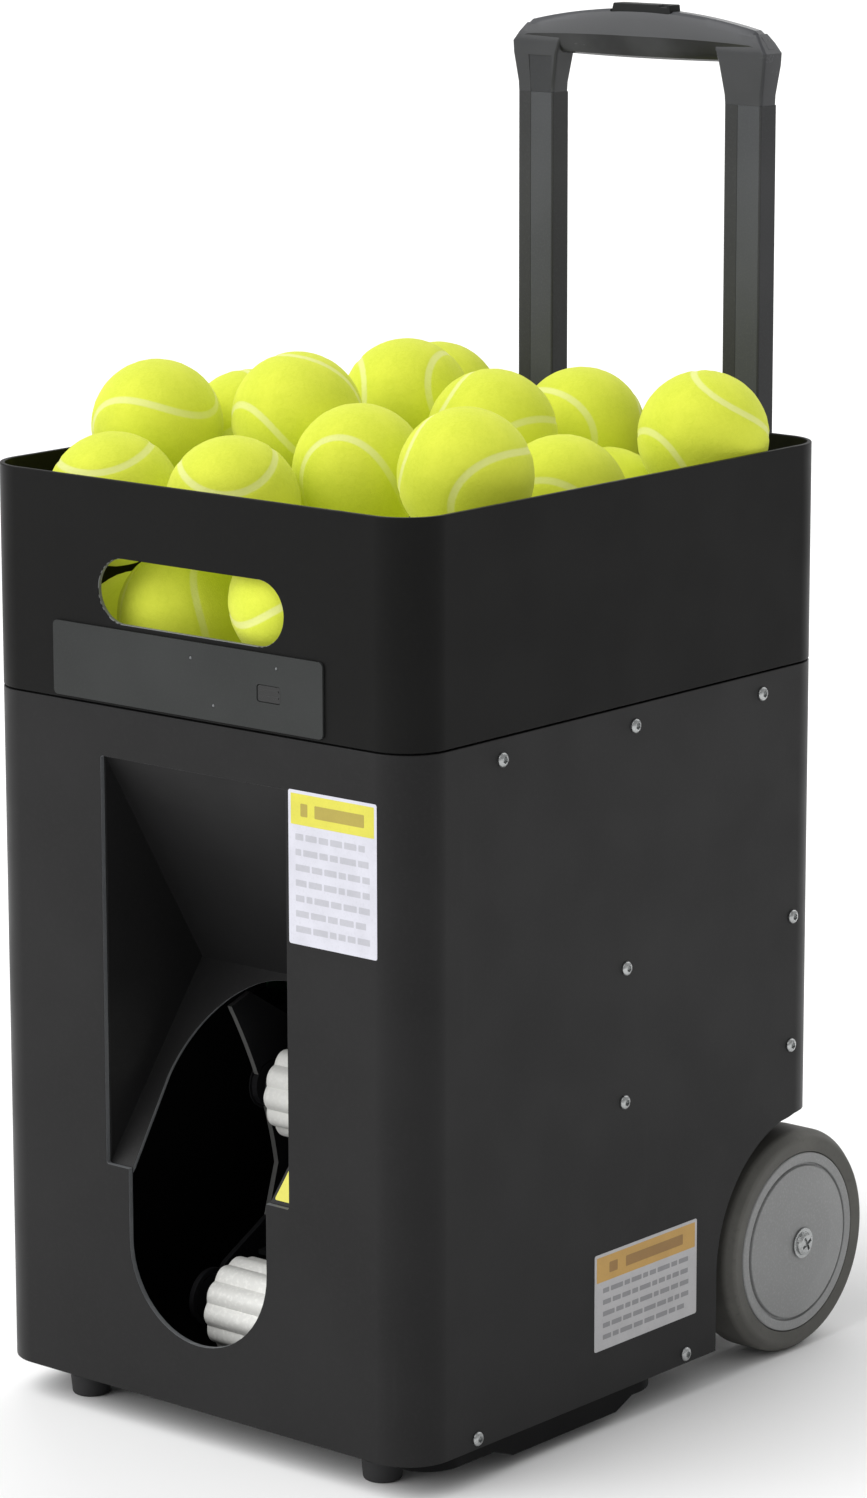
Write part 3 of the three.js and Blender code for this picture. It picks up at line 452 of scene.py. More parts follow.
def rubber(name, colour, roughness):
    """Moulded rubber with a dry bloom and small pits."""
    s = Surface(name, colour, roughness)
    bloom = s.between(s.noise(34, detail=5, rough=0.62), 0.42, 0.72, 0, 0.75)
    s.tint(bloom, scaled(colour, 1.4))
    s.tint(s.between(s.noise(420, detail=3), 0.55, 0.8, 0, 0.5), scaled(colour, 0.7))
    s.rougher(bloom, 0.06)
    s.relief(s.noise(300, detail=4, rough=0.7), 0.09, 0.5)
    s.relief(s.noise(1500, detail=2), 0.03, 0.6)
    return s.done()


def gloss(name, colour, roughness):
    """Polished dark plastic with faint wipe marks."""
    s = Surface(name, colour, roughness)
    marks = s.between(s.noise(120, (1, 1, 0.25), detail=5, rough=0.7), 0.5, 0.8)
    s.tint(marks, scaled(colour, 1.8))
    s.rougher(marks, 0.14)
    s.relief(s.noise(260, detail=1), 0.006, 0.5)
    return s.done()


def circuit_lacquer(name, colour):
    """Board lacquer over a layer of copper runs."""
    s = Surface(name, colour, 0.35)
    runs = s.between(s.cells(160, (1, 1, 0.3)), 0.28, 0.34)
    s.tint(runs, scaled(colour, 1.7))
    s.relief(runs, 0.04, 0.5)
    s.rougher(s.noise(200), 0.15)
    return s.done()


def felt():
    """Brushed optic felt with a pale rubber seam, whose distance from the surface is stored as `seam`."""
    bright, deep, pale = (0.53, 0.575, 0.058), (0.42, 0.48, 0.030), (0.60, 0.62, 0.24)
    # painted glow: a faint emission over all the felt stands in for its fluorescence and also lifts its
    # shaded side
    painted_glow = {"Emission Color": (0.62, 0.72, 0.03, 1), "Emission Strength": 0.21}
    sheen = {"Sheen Weight": 0.30, "Sheen Roughness": 0.45, "Sheen Tint": (1.0, 1.0, 0.45, 1)}
    s = Surface("ball_felt", bright, 0.95, **painted_glow, **sheen, **{"Specular IOR Level": 0.1})
    nap = s.noise(520, detail=5, rough=0.75, distortion=1.2)
    s.tint(s.between(nap, 0.35, 0.68, 0, 0.45), deep)
    s.tint(s.between(s.noise(45, detail=3), 0.35, 0.7, 0, 0.4), (0.66, 0.68, 0.075))
    seam = s.between(s.attribute("seam"), 1.2, 2.3, 1, 0)
    s.tint(seam, pale)
    s.rougher(seam, -0.25)
    s.relief(nap, 0.5, 0.6)
    s.relief(s.noise(1600, detail=3, rough=0.8), 0.16, 0.8)
    return s.done()


def paper(name, colour, roughness=0.42):
    """Printed label stock: slight mottling, tiny fibres and a soft film."""
    s = Surface(name, colour, roughness)
    s.tint(s.between(s.noise(90, detail=4), 0.35, 0.7, 0, 0.5), scaled(colour, 0.86))
    s.tint(s.between(s.noise(900, detail=3), 0.5, 0.8, 0, 0.4), scaled(colour, 0.78))
    s.rougher(s.noise(60), 0.12)
    s.relief(s.noise(120, detail=2), 0.03, 0.4)
    return s.done()


MATT = {"Specular IOR Level": 0.13}
DULL = {"Specular IOR Level": 0.07}
MATERIALS = {}


def stock(maker, slot, *values, **settings):
    """Makes the material of one of the record's slots."""
    MATERIALS[slot] = maker(slot, *values, **settings)


stock(moulded, "housing_black", (0.0122, 0.0121, 0.0123), 0.42, wear=0.3, **MATT)
stock(moulded, "shell_black", (0.0062, 0.0062, 0.0060), 0.42, wear=0.3, **DULL)
stock(moulded, "dark_plastic", (0.011, 0.0115, 0.012), 0.5, **MATT)
stock(moulded, "grey_plate", (0.026, 0.0275, 0.027), 0.36, grain=0.4, depth=0.008, wear=0.3, **MATT)
stock(gloss, "black_gloss", (0.0015, 0.0015, 0.0015), 0.3)
stock(rubber, "foot_rubber", (0.012, 0.012, 0.013), 0.72)
stock(rubber, "tyre_rubber", (0.082, 0.080, 0.072), 0.70)
stock(moulded, "hub_grey", (0.225, 0.228, 0.228), 0.42, grain=0.5, depth=0.012, wear=0.3)
stock(moulded, "roller_white", (0.61, 0.61, 0.585), 0.50, grain=0.8, wear=0.2)
stock(moulded, "handle_black", (0.038, 0.0385, 0.040), 0.34, grain=0.5, depth=0.008, wear=0.5, **DULL)
# grip: painted highlight on upward faces and painted shade on downward faces
stock(grip_wear_and_painted_light, "grip_black", (0.040, 0.041, 0.044), 0.26)
stock(metal, "bright_steel", (0.40, 0.41, 0.41), 0.30, (0.08, 1, 1))
stock(moulded, "black_metal", (0.010, 0.010, 0.011), 0.48, grain=1.1, depth=0.03, **MATT)
stock(metal, "motor_metal", (0.27, 0.28, 0.29), 0.34, (0.1, 1, 1))
stock(moulded, "battery_case", (0.016, 0.028, 0.045), 0.5)
stock(circuit_lacquer, "circuit_board", (0.010, 0.060, 0.024))
stock(moulded, "dial_grey", (0.085, 0.090, 0.095), 0.5)

PAN_BLACK = moulded("pan_black", (0.0022, 0.0022, 0.0024), 0.5, grain=1.1, depth=0.03, **DULL)
GRIP_INSET = moulded("grip_inset", (0.033, 0.034, 0.037), 0.30, grain=0.6, depth=0.012, wear=0.5, **MATT)
STRIP = moulded("handle_strip", (0.054, 0.056, 0.061), 0.38, grain=0.4, depth=0.006, wear=0.7, **MATT)
# Lighter grey: a painted highlight on the rims of the openings, and the own grey of the name plate's lamp
# dots.
LAMP_GREY_AND_EDGE_HIGHLIGHT = moulded("lamp_grey_and_painted_edge_highlight", (0.11, 0.115, 0.12), 0.40, grain=0.4, depth=0.006, wear=0.6)
# Lighter grey as a painted highlight along the cheek plate's front edge.
CHEEK_EDGE_HIGHLIGHT = moulded("painted_cheek_edge_highlight", (0.11, 0.11, 0.107), 0.42, grain=0.4, depth=0.006, wear=0.6)
LABEL_WHITE = paper("label_white", (0.56, 0.56, 0.62))
LABEL_GREY = paper("label_grey", (0.46, 0.455, 0.465), 0.5)
LABEL_YELLOW = paper("label_yellow", (0.60, 0.56, 0.055))
LABEL_ORANGE = paper("label_orange", (0.52, 0.31, 0.08), 0.5)
INK = paper("label_ink", (0.42, 0.42, 0.46))
INK_FAINT = paper("label_ink_faint", (0.25, 0.25, 0.26), 0.5)
HEAD_INK = paper("label_head_ink", (0.36, 0.29, 0.045), 0.5)
HEAD_INK_WARM = paper("label_head_ink_warm", (0.30, 0.165, 0.045), 0.5)
FELT = felt()

for row in frame["record"]["subparts"]:
    node = frame["nodes"][row["node"]]
    node.material_slots[0].material = MATERIALS[row["material_slot"]]

# ---------------------------------------------------------------- pieces


def rounded(solid, width, segments=2, crease=30, where=None):
    """Rounds the edges that turn by more than crease degrees, or those of them whose middle passes where."""
    limit = radians(crease)
    chosen = [edge for edge in solid.edges if len(edge.link_faces) == 2 and edge.calc_face_angle() > limit
              and (where is None or where((edge.verts[0].co + edge.verts[1].co) / 2))]
    bmesh.ops.bevel(solid, geom=chosen, offset=width, segments=segments, profile=0.5, affect="EDGES",
                    clamp_overlap=True, material=-1)
    return solid


def tidied(solid):
    """Merges doubled corners and flat neighbours, so that roundings have clean edges to follow."""
    bmesh.ops.remove_doubles(solid, verts=solid.verts, dist=1e-4)
    bmesh.ops.dissolve_limit(solid, angle_limit=radians(0.2), verts=solid.verts, edges=solid.edges,
                             delimit={"MATERIAL"})
    return solid


def piece(name, solid, body, finish, replaces=(), bevel=0.0, segments=2, crease=30, smooth=32, where=None):
    """A shown piece from a bmesh in millimetres, its sharp edges rounded by bevel millimetres.
    finish is a material slot of the record, or a list of (slot, material) for the solid's face groups."""
    tidied(solid)
    if bevel:
        rounded(solid, bevel, segments, crease, where)
    mesh = bpy.data.meshes.new(name)
    solid.to_mesh(mesh)
    solid.free()
    mesh.transform(TO_FRAME)
    thing = placed(name, mesh)
    slots = [finish] if isinstance(finish, str) else finish
    for slot in slots:
        mesh.materials.append(MATERIALS[slot] if isinstance(slot, str) else slot)
    mesh.polygons.foreach_set("use_smooth", [True] * len(mesh.polygons))
    mesh.set_sharp_from_angle(angle=radians(smooth))
    step = thing.modifiers.new("normals", "WEIGHTED_NORMAL")
    step.keep_sharp, step.weight = True, 100
    finished = applied(thing)
    thing.modifiers.clear()
    thing.data = finished
    bpy.data.meshes.remove(mesh)
    finished.name = name
    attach(thing, body)
    if replaces:
        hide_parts(*([replaces] if isinstance(replaces, str) else replaces))
    return thing


def pair(name, solid, bodies, finish, replaces=None, **settings):
    """The right-hand piece and its mirror image on the left."""
    other = mirrored(solid)
    right, left = (bodies, bodies) if isinstance(bodies, str) else bodies
    for side, half, body in (("right", solid, right), ("left", other, left)):
        hides = f"{replaces}_{side}" if replaces else ()
        piece(f"{name}_{side}", half, body, finish, replaces=hides, **settings)


# Housing, shell and hood


def wedge(front_y, offset, half):
    """Open at the front: a sloping ceiling and a leaning plate meet at the deep line."""
    hood_front = LOWER_WALL + GAP
    ceiling = (RECESS_TOP - DEEP_Z) / (DEEP_Y - hood_front)
    lean = (DEEP_Z - RECESS_BEND) / (DEEP_Y - hood_front)
    top = RECESS_TOP + offset * hypot(1, ceiling)
    low = RECESS_BEND - offset * hypot(1, lean)
    deep = (top - low) / (ceiling + lean)
    ahead = hood_front - front_y
    outline = [(front_y, top + ahead * ceiling), (front_y, low - ahead * lean),
               (hood_front + deep, low + deep * lean)]
    return prism(outline, "x", -half, half)


def mark_cut_edges(solid, test):
    """Gives the faces that test accepts the piece's second material."""
    for face in solid.faces:
        if test(face.calc_center_median(), face.normal):
            face.material_index = 1
    return solid


def build_housing():
    arch = prism(arch_outline(ARCH_R), "x", ARCH_INNER, WIDTH / 2 + 1)
    inset = 6
    half, low, high = COVER_HALF - inset, COVER_LOW + inset, COVER_HIGH - inset
    behind_cover = rectangle(-half, half, low, high, 4)
    launch_recess = rectangle(-RECESS_HALF, RECESS_HALF, RECESS_BEND, RECESS_TOP, 1.2, 3)
    solid = cut(
        tube(plan(0), plan(LOWER_WALL), "z", 0, SEAM - SEAM_GAP),
        prism(launch_recess, "y", -1, LOWER_WALL + 1),
        prism(mouth_outline(False), "y", -1, LOWER_WALL + 1),
        arch,
        mirrored(arch),
        prism(behind_cover, "y", DEPTH - 4, DEPTH + 1),
    )
    front = WIDTH / 2 - CORNER

    def round_here(middle):
        near_opening = middle.y < LOWER_WALL + 1 and abs(middle.x) < RECESS_HALF + 1
        top_rim = middle.z > SEAM - SEAM_GAP - 0.1
        low_rim = middle.z < 0.1 and (middle.y < WHEEL_Y - ARCH_R - 2 or abs(middle.x) < ARCH_INNER - 2)
        return near_opening or top_rim or low_rim

    # The edge faces of the launch recess and mouth take the lighter material: a painted highlight along
    # their rims.
    mark_cut_edges(tidied(solid), lambda c, n: c.y < LOWER_WALL and abs(n.y) < 0.5
                   and abs(c.x) < front and 1 < c.z < RECESS_TOP + 1)
    piece("housing_lower", solid, "chassis", ["housing_black", LAMP_GREY_AND_EDGE_HIGHLIGHT], replaces="lower_housing",
          bevel=0.5, where=round_here)


def build_shell():
    slot = rectangle(-SLOT_HALF, SLOT_HALF, SLOT_LOW, SLOT_HIGH, (SLOT_HIGH - SLOT_LOW) / 2 - 0.05, 16)
    solid = cut(
        tube(plan(0), plan(UPPER_WALL), "z", SEAM, HEIGHT),
        prism(slot, "y", -1, UPPER_WALL + 1),
        prism(slot, "y", DEPTH - UPPER_WALL - 1, DEPTH + 1),
    )
    # The hand slots' edge faces take the lighter material: a painted highlight along their rims.
    mark_cut_edges(tidied(solid), lambda c, n: abs(n.y) < 0.5 and SLOT_LOW - 1 < c.z < SLOT_HIGH + 1
                   and abs(c.x) < SLOT_HALF + 1)
    piece("shell_upper", solid, "chassis", ["shell_black", LAMP_GREY_AND_EDGE_HIGHLIGHT], replaces="upper_shell", bevel=0.6,
          segments=3)


def build_hood():
    hood_front = LOWER_WALL + GAP
    half = RECESS_HALF + HOOD_SHEET
    solid = cut(
        wedge(hood_front, HOOD_SHEET, half),
        wedge(hood_front - 1, 0, RECESS_HALF),
        prism(mouth_outline(True), "y", -1, DEEP_Y + 10),
    )
    # The arch rim's edge faces take the lighter material: a painted highlight along the rim.
    mark_cut_edges(tidied(solid), lambda c, n: abs(n.y) < 0.1 and abs(c.x) < ARCH_MOUTH_R + 0.5)
    piece("recess_hood", solid, "chassis", ["housing_black", LAMP_GREY_AND_EDGE_HIGHLIGHT], replaces="launch_hood", bevel=0.45)
    build_sticker()


def on_leaning_plate(x, z, lift):
    """A point lift millimetres proud of the hood's leaning plate, under its deep line."""
    hood_front = LOWER_WALL + GAP
    rise, run = DEEP_Z - RECESS_BEND, DEEP_Y - hood_front
    length = hypot(rise, run)
    along = (z - RECESS_BEND) / rise
    return (x, hood_front + run * along - lift * rise / length, z + lift * run / length)


def build_sticker():
    """Yellow hazard marker beside the foot of the opening."""
    outline = filleted([(47.6, 117.5), (59.5, 117.5), (59.5, 150), (50.6, 150)], 1.0, 3)
    rings = [[on_leaning_plate(x, z, lift) for x, z in outline] for lift in (0.05, 0.25)]
    piece("marker_yellow", skin(rings), "chassis", [LABEL_YELLOW], smooth=30)


def build_name_plate():
    window = rectangle(SENSOR_X - SENSOR_W / 2, SENSOR_X + SENSOR_W / 2,
                       SENSOR_Z - SENSOR_H / 2, SENSOR_Z + SENSOR_H / 2, 1.5)
    lamps = [(1.5, 379.5), (56.5, 381), (16, 358)]
    seat = [(0, 0), (0.9, 0), (0.9, 2), (0, 2)]
    seats = [lathe(seat, "y", (x, -PLATE_PROUD - 0.5, z), 16) for x, z in lamps]
    solid = cut(prism(rectangle(*PLATE_X, *PLATE_Z, 2.6, 8), "y", -PLATE_PROUD, -0.05),
                prism(window, "y", -PLATE_PROUD - 1, 1), *seats)
    piece("plate_front", solid, "chassis", "grey_plate", replaces="name_plate", bevel=0.35, segments=3)
    w, h = SENSOR_W / 2 - GAP, SENSOR_H / 2 - GAP
    pane = rectangle(SENSOR_X - w, SENSOR_X + w, SENSOR_Z - h, SENSOR_Z + h, 1.2)
    ribs = [block(SENSOR_X - w + 1, SENSOR_X + w - 1, -PLATE_PROUD + 0.1, -0.5, z - 0.5, z + 0.5)
            for z in (SENSOR_Z - h * 0.35, SENSOR_Z + h * 0.45)]
    lens = joined(prism(pane, "y", -PLATE_PROUD + 0.35, -0.1), *ribs)
    piece("sensor_lens", lens, "chassis", "black_gloss", replaces="sensor_window", bevel=0.2)
    dome = [(0, 0.2), (0.75, 0.2), (0.75, -0.75), (0.55, -1.0), (0, -1.1)]
    dots = [lathe(dome, "y", (x, -0.45, z), 16) for x, z in lamps]
    piece("plate_lamps", together(dots), "chassis", [LAMP_GREY_AND_EDGE_HIGHLIGHT], smooth=60)


# Screws in the walls

SIDE_SCREWS = [(65.2, 337.7), (167.1, 337.7), (270.7, 337.5), (161.2, 217), (298.8, 217),
               (160.3, 149), (298.5, 149), (46.7, 5.4), (211.8, 5.2)]
COVER_SCREWS = [(x, z) for x in (-44, 44) for z in (132, 312)]


def button_screw(radius=3.6, height=2.0):
    """A button head on the plane z = 0 with a hexagon socket."""
    dome = [(radius * cos(radians(a)), 0.35 + (height - 0.35) * sin(radians(a)))
            for a in range(0, 91, 15)]
    head = lathe([(0, -0.4), (radius, -0.4)] + dome[:-1] + [(0, height)], "z", (0, 0, 0), 32)
    hexagon = arc((0, 0), radius * 0.5, 0, 300, 5)
    return cut(head, prism(hexagon, "z", height * 0.3, height + 1))


def build_screws():
    head = button_screw()
    aim = turned(90, "Y")
    walls = [moved(head.copy(), shift(WIDTH / 2, y, z) @ aim) for y, z in SIDE_SCREWS]
    pair("wall_screws", together(walls), "chassis", "bright_steel", smooth=40)
    back = turned(-90, "X")
    small = button_screw(2.8, 1.6)
    y = DEPTH + COVER_THICK + GAP
    covers = [moved(small.copy(), shift(x, y, z) @ back) for x, z in COVER_SCREWS]
    piece("cover_screws", together(covers), "chassis", "bright_steel", smooth=40)


# Labels: plain stock with a coloured head and rows of dashes


def label(name, place, width, height, head, rows, base_stock, head_stock, ink, seed):
    """A label in its own plane, carried to the wall by place."""
    chance = random.Random(seed)
    margin = 1.6
    layers = [(prism(rectangle(0, width, 0, height, 1.2), "z", 0, 0.16), 0)]
    top = height - margin
    layers.append((prism(rectangle(margin, width - margin, top - head, top, 0.4), "z", 0.16, 0.19), 1))
    layers += [(prism(rectangle(u0, u1, top - head * 0.72, top - head * 0.3, 0.6), "z", 0.19, 0.21), 3)
               for u0, u1 in ((width * 0.14, width * 0.22), (width * 0.30, width * 0.86))]
    pitch = (height - 2 * margin - head) / (rows + 0.6)
    for row in range(rows):
        v = top - head - pitch * (row + 1)
        u = width * 0.08
        while u < width * 0.86:
            dash = min(chance.uniform(3.5, 10), width * 0.92 - u)
            bar = rectangle(u, u + dash, v, v + pitch * 0.42, 0.3, 2)
            layers.append((prism(bar, "z", 0.16, 0.18), 2))
            u += dash + 1.3
    for layer, group in layers:
        for face in layer.faces:
            face.material_index = group
    head_ink = HEAD_INK_WARM if head_stock is LABEL_ORANGE else HEAD_INK
    piece(name, moved(together([layer for layer, _ in layers]), place), "chassis",
          [base_stock, head_stock, ink, head_ink], smooth=30)


def build_labels():
    on_front = shift(62.5, -0.02, 249) @ turned(90, "X")
    label("label_front", on_front, 55.2, 75, 15, 7, LABEL_WHITE, LABEL_YELLOW, INK, 3)
    on_side = shift(WIDTH / 2 + 0.02, 137, 25) @ turned(90, "Z") @ turned(90, "X")
    label("label_side", on_side, 83, 50, 13, 5, LABEL_GREY, LABEL_ORANGE, INK_FAINT, 8)


# Base, feet and wheels


def build_base():
    """A shallow pan under the housing with a channel pressed across it."""
    def channel(grow):
        return [(62 + grow, PAN_LOW + 3), (62 + grow, PAN_LOW + grow), (77 + grow, CHANNEL_LOW + grow),
                (158 - grow, CHANNEL_LOW + grow), (171 - grow, PAN_LOW + grow), (171 - grow, PAN_LOW + 3)]
    inner = PAN_HALF - PAN_SHEET
    outer = joined(
        prism(rectangle(-PAN_HALF, PAN_HALF, PAN_FRONT, PAN_BACK, 20, 14), "z", PAN_LOW, -GAP),
        prism(channel(0), "x", -PAN_HALF + 20, PAN_HALF),
    )
    solid = cut(
        outer,
        prism(rectangle(-inner, inner, PAN_FRONT + PAN_SHEET, PAN_BACK - PAN_SHEET, 18, 14), "z",
              PAN_LOW + PAN_SHEET, 1),
        prism(channel(PAN_SHEET), "x", -inner + 20, inner),
    )
    piece("pan_under", solid, "chassis", [PAN_BLACK], replaces="base_pan", bevel=0.8, segments=3)
    foot = [(0, FLOOR), (FOOT_LOW_R, FLOOR), (FOOT_TOP_R, PAN_LOW - GAP), (0, PAN_LOW - GAP)]
    profile = filleted(foot, (0, 1.6, 0.6, 0), 4)
    pair("foot", lathe(profile, "z", (FOOT_X, FOOT_Y, 0), 64), "chassis", "foot_rubber",
         replaces="front_foot", smooth=50)


def wheel_profiles():
    outer = WIDTH / 2
    near = outer - WHEEL_W
    inner = HUB_R + GAP
    tyre = filleted([(inner, near + 2), (WHEEL_R - 4, near), (WHEEL_R, near + 5), (WHEEL_R, outer - 5),
                     (WHEEL_R - 4, outer), (inner, outer - 1)], (0.5, 3, 5, 5, 3, 0.8), 6)
    bore = 5.3
    hub = filleted([(bore, near + 3), (12, near + 3), (14, near + 12), (HUB_R, near + 12),
                    (HUB_R, outer - 0.6), (GROOVE_R + 0.9, outer - 0.9), (GROOVE_R + 0.5, outer - 2.4),
                    (GROOVE_R - 0.5, outer - 2.4), (GROOVE_R - 0.9, outer - 0.5), (26, outer + 1.2),
                    (bore, outer + 2)],
                   (0.3, 1, 3, 0.5, 1.0, 0.4, 0.2, 0.2, 0.5, 30, 0.2), 8)
    seat = outer + 2.4
    screw = filleted([(0, seat), (8, seat), (8, seat + 0.9), (6.3, seat + 0.95), (6.1, seat + 2.0),
                      (4.6, seat + 2.9), (0, seat + 3.2)], (0, 0.3, 0.3, 0.1, 0.5, 1.2, 0), 4)
    return tyre, hub, screw


def build_wheels():
    tyre, hub, screw = wheel_profiles()
    at = (0, WHEEL_Y, WHEEL_Z)
    bodies = ("right_wheel", "left_wheel")
    pair("wheel_tyre", lathe(tyre, "x", at, 144), bodies, "tyre_rubber", replaces="tyre", smooth=40)
    pair("wheel_hub", lathe(hub, "x", at, 144), bodies, "hub_grey", replaces="hub", smooth=40)
    head = lathe(screw, "x", at, 64)
    x = WIDTH / 2 + 2.4 + 1.9
    arms = [block(x, x + 3, WHEEL_Y - a, WHEEL_Y + a, WHEEL_Z - b, WHEEL_Z + b)
            for a, b in ((3.8, 0.8), (0.8, 3.8))]
    turn = shift(*at) @ turned(28, "X") @ shift(0, -WHEEL_Y, -WHEEL_Z)
    pair("axle_cap_screw", cut(head, *[moved(arm, turn) for arm in arms]), "chassis", "bright_steel",
         replaces="axle_screw", smooth=40)


# Launch rollers


def roller_rings():
    """Ribbed barrel whose shoulders curve in at both ends, around a moulded boss."""
    count = ROLLER_LOBES * 14
    turns = [2 * pi * i / count for i in range(count)]
    slopes = [radians(a) for a in range(0, 91, 15)]
    stations = [(-ROLLER_HALF + ROLLER_SHOULDER * (1 - cos(a)), sin(a)) for a in slopes]
    stations += [(-x, fullness) for x, fullness in stations[::-1]]
    rings = []
    for x, fullness in stations:
        shrink = ROLLER_SHOULDER * (1 - fullness)
        lobe_depth = ROLLER_LOBE_DEPTH * (0.55 + 0.45 * fullness)
        ring = []
        for a in turns:
            lobe = abs(cos(a * ROLLER_LOBES / 2))
            r = ROLLER_R - shrink - lobe_depth * (1 - lobe)
            ring.append((x, r * cos(a), r * sin(a)))
        rings.append(ring)
    return rings


def build_rollers():
    for name, (y, z) in ROLLERS.items():
        at = (0, y, z)
        barrel = moved(skin(roller_rings()), shift(*at))
        face, floor = ROLLER_HALF + 1, ROLLER_HALF - 3
        dishes = [lathe([(0, s * face), (11.5, s * face), (10.5, s * floor), (0, s * floor)], "x", at, 48)
                  for s in (-1, 1)]
        bore = lathe([(0, -30), (SHAFT_R + GAP, -30), (SHAFT_R + GAP, 30), (0, 30)], "x", at, 32)
        piece(f"launch_roller_{name}", cut(barrel, *dishes, bore), f"{name}_roller_unit", "roller_white",
              replaces=f"roller_{name}", smooth=38)


# Trolley handle


def channelled(width, depth, start, end, sunk, radius=2.2):
    """A tube's section about its own centre, with a channel from start to end in its front and back."""
    w, d = width / 2, depth / 2
    corners = [(-w, -d), (start, -d), (start, -d + sunk), (end, -d + sunk), (end, -d), (w, -d),
               (w, d), (end, d), (end, d - sunk), (start, d - sunk), (start, d), (-w, d)]
    near = min(0.3, (w - end) * 0.3)
    radii = [radius, 0.3, 0.25, 0.25, near, min(radius, w - end - near - 0.05)]
    return filleted(corners, radii + radii[::-1], 6)


def build_tubes():
    start, end, sunk = -3.0, TUBE_W / 2 - 1.1, 0.5
    section = channelled(TUBE_W, TUBE_D, start, end, sunk, 2.0)
    inside = rectangle(-TUBE_W / 2 + 2, TUBE_W / 2 - 2, -TUBE_D / 2 + 2, TUBE_D / 2 - 2, 1, 4)
    strip = rectangle(start + 0.03, end - 0.03, -TUBE_D / 2 + 0.08, -TUBE_D / 2 + sunk - 0.02, 0.1, 2)
    for side, x in (("left", -TUBE_X), ("right", TUBE_X)):
        centre = shift(x, TUBE_Y, 0)
        solid = cut(prism(section, "z", TUBE_LOW, TUBE_HIGH),
                    prism(inside, "z", TUBE_LOW - 1, TUBE_HIGH + 1))
        piece(f"slide_tube_{side}", moved(solid, centre), "trolley_handle", "handle_black",
              replaces=f"handle_tube_{side}", smooth=24)
        piece(f"slide_strip_{side}", moved(prism(strip, "z", TUBE_LOW, TUBE_HIGH), centre),
              "trolley_handle", [STRIP])
    outer = channelled(OUTER_W, OUTER_D, -7.5, 7.5, 0.8, 3.2)
    bore = rectangle(-TUBE_W / 2 - 0.6, TUBE_W / 2 + 0.6, -TUBE_D / 2 - 0.6, TUBE_D / 2 + 0.6, 2.6, 5)
    solid = cut(prism(outer, "z", OUTER_LOW, OUTER_HIGH), prism(bore, "z", OUTER_LOW - 1, OUTER_HIGH + 1))
    pair("guide_tube", moved(solid, shift(TUBE_X, TUBE_Y, 0)), "chassis", "handle_black",
         replaces="handle_outer_tube", bevel=0.3)


def grip_bar():
    """Crowned bar, fullest in the middle, with a ridge along its front and a rounded underside."""
    half = GRIP_SHOULDER - 1.5
    rings = []
    for i in range(-16, 17):
        share = i / 16
        x = half * copysign(abs(share) ** 0.85, share)
        side = abs(x) / half
        top = GRIP_CROWN - 10.1 * side ** 2 - max(0, abs(x) - 75) * 1.1
        low = GRIP_UNDER + 1.6 * side ** 2
        ridge = low + (top - low) * (0.46 + 0.1 * side ** 2)
        deep = 8.6 - 1.6 * side ** 3
        front = [(-deep * 0.34, top), (-deep * 0.56, top - 1.3), (-deep * 0.80, (top * 0.6 + ridge * 0.4)),
                 (-deep * 0.97, ridge + 1.2), (-deep, ridge), (-deep * 0.95, ridge - 1.2),
                 (-deep * 0.78, low + (ridge - low) * 0.42), (-deep * 0.52, low + (ridge - low) * 0.1),
                 (-deep * 0.26, low)]
        section = [(x, TUBE_Y + y, z) for y, z in front] + [(x, TUBE_Y - y, z) for y, z in front[::-1]]
        rings.append(section)
    return skin(rings)


def grip_leg():
    """The right-hand leg: flush with its tube, flared on both sides and chamfered at the shoulder."""
    front, back = TUBE_Y - TUBE_D / 2, TUBE_Y + TUBE_D / 2
    shoulder, inner = GRIP_SHOULDER, GRIP_INNER - 3
    stations = [
        (GRIP_LEG_LOW, GRIP_INNER, GRIP_OUTER, 0),
        (GRIP_LEG_LOW + 5, GRIP_INNER - 0.3, GRIP_OUTER + 0.2, 0.1),
        (GRIP_UNDER, inner, shoulder - 0.4, 1.3), (GRIP_UNDER + 6, inner - 2, shoulder, 1.3),
        (GRIP_UNDER + 11, inner - 4, shoulder - 3.6, 0.4),
        (GRIP_UNDER + 15.5, inner - 4, shoulder - 7.2, -1.5),
    ]
    rings = []
    for z, x0, x1, out in stations:
        outline = rectangle(x0, x1, front - out, back + out, 1.9, 4)
        rings.append([(x, y, z) for x, y in outline])
    return skin(rings)


def grip_panel(deep=0.45, shallow=-3, slack=0):
    """Shallow inset in the front of the right-hand leg, in line with the strip on the tube below it."""
    start, end = TUBE_X - 3.0 + slack, TUBE_X + TUBE_W / 2 - 1.6 - slack
    front = TUBE_Y - TUBE_D / 2
    low, high = GRIP_LEG_LOW - 1 + 26 * slack, GRIP_UNDER - 1 - slack
    return skin([[(start, front + lift, low), (end, front + lift, low),
                  (end + 1.4, front + lift - 1.1, high), (start - 0.6, front + lift - 1.1, high)]
                 for lift in (shallow, deep)])


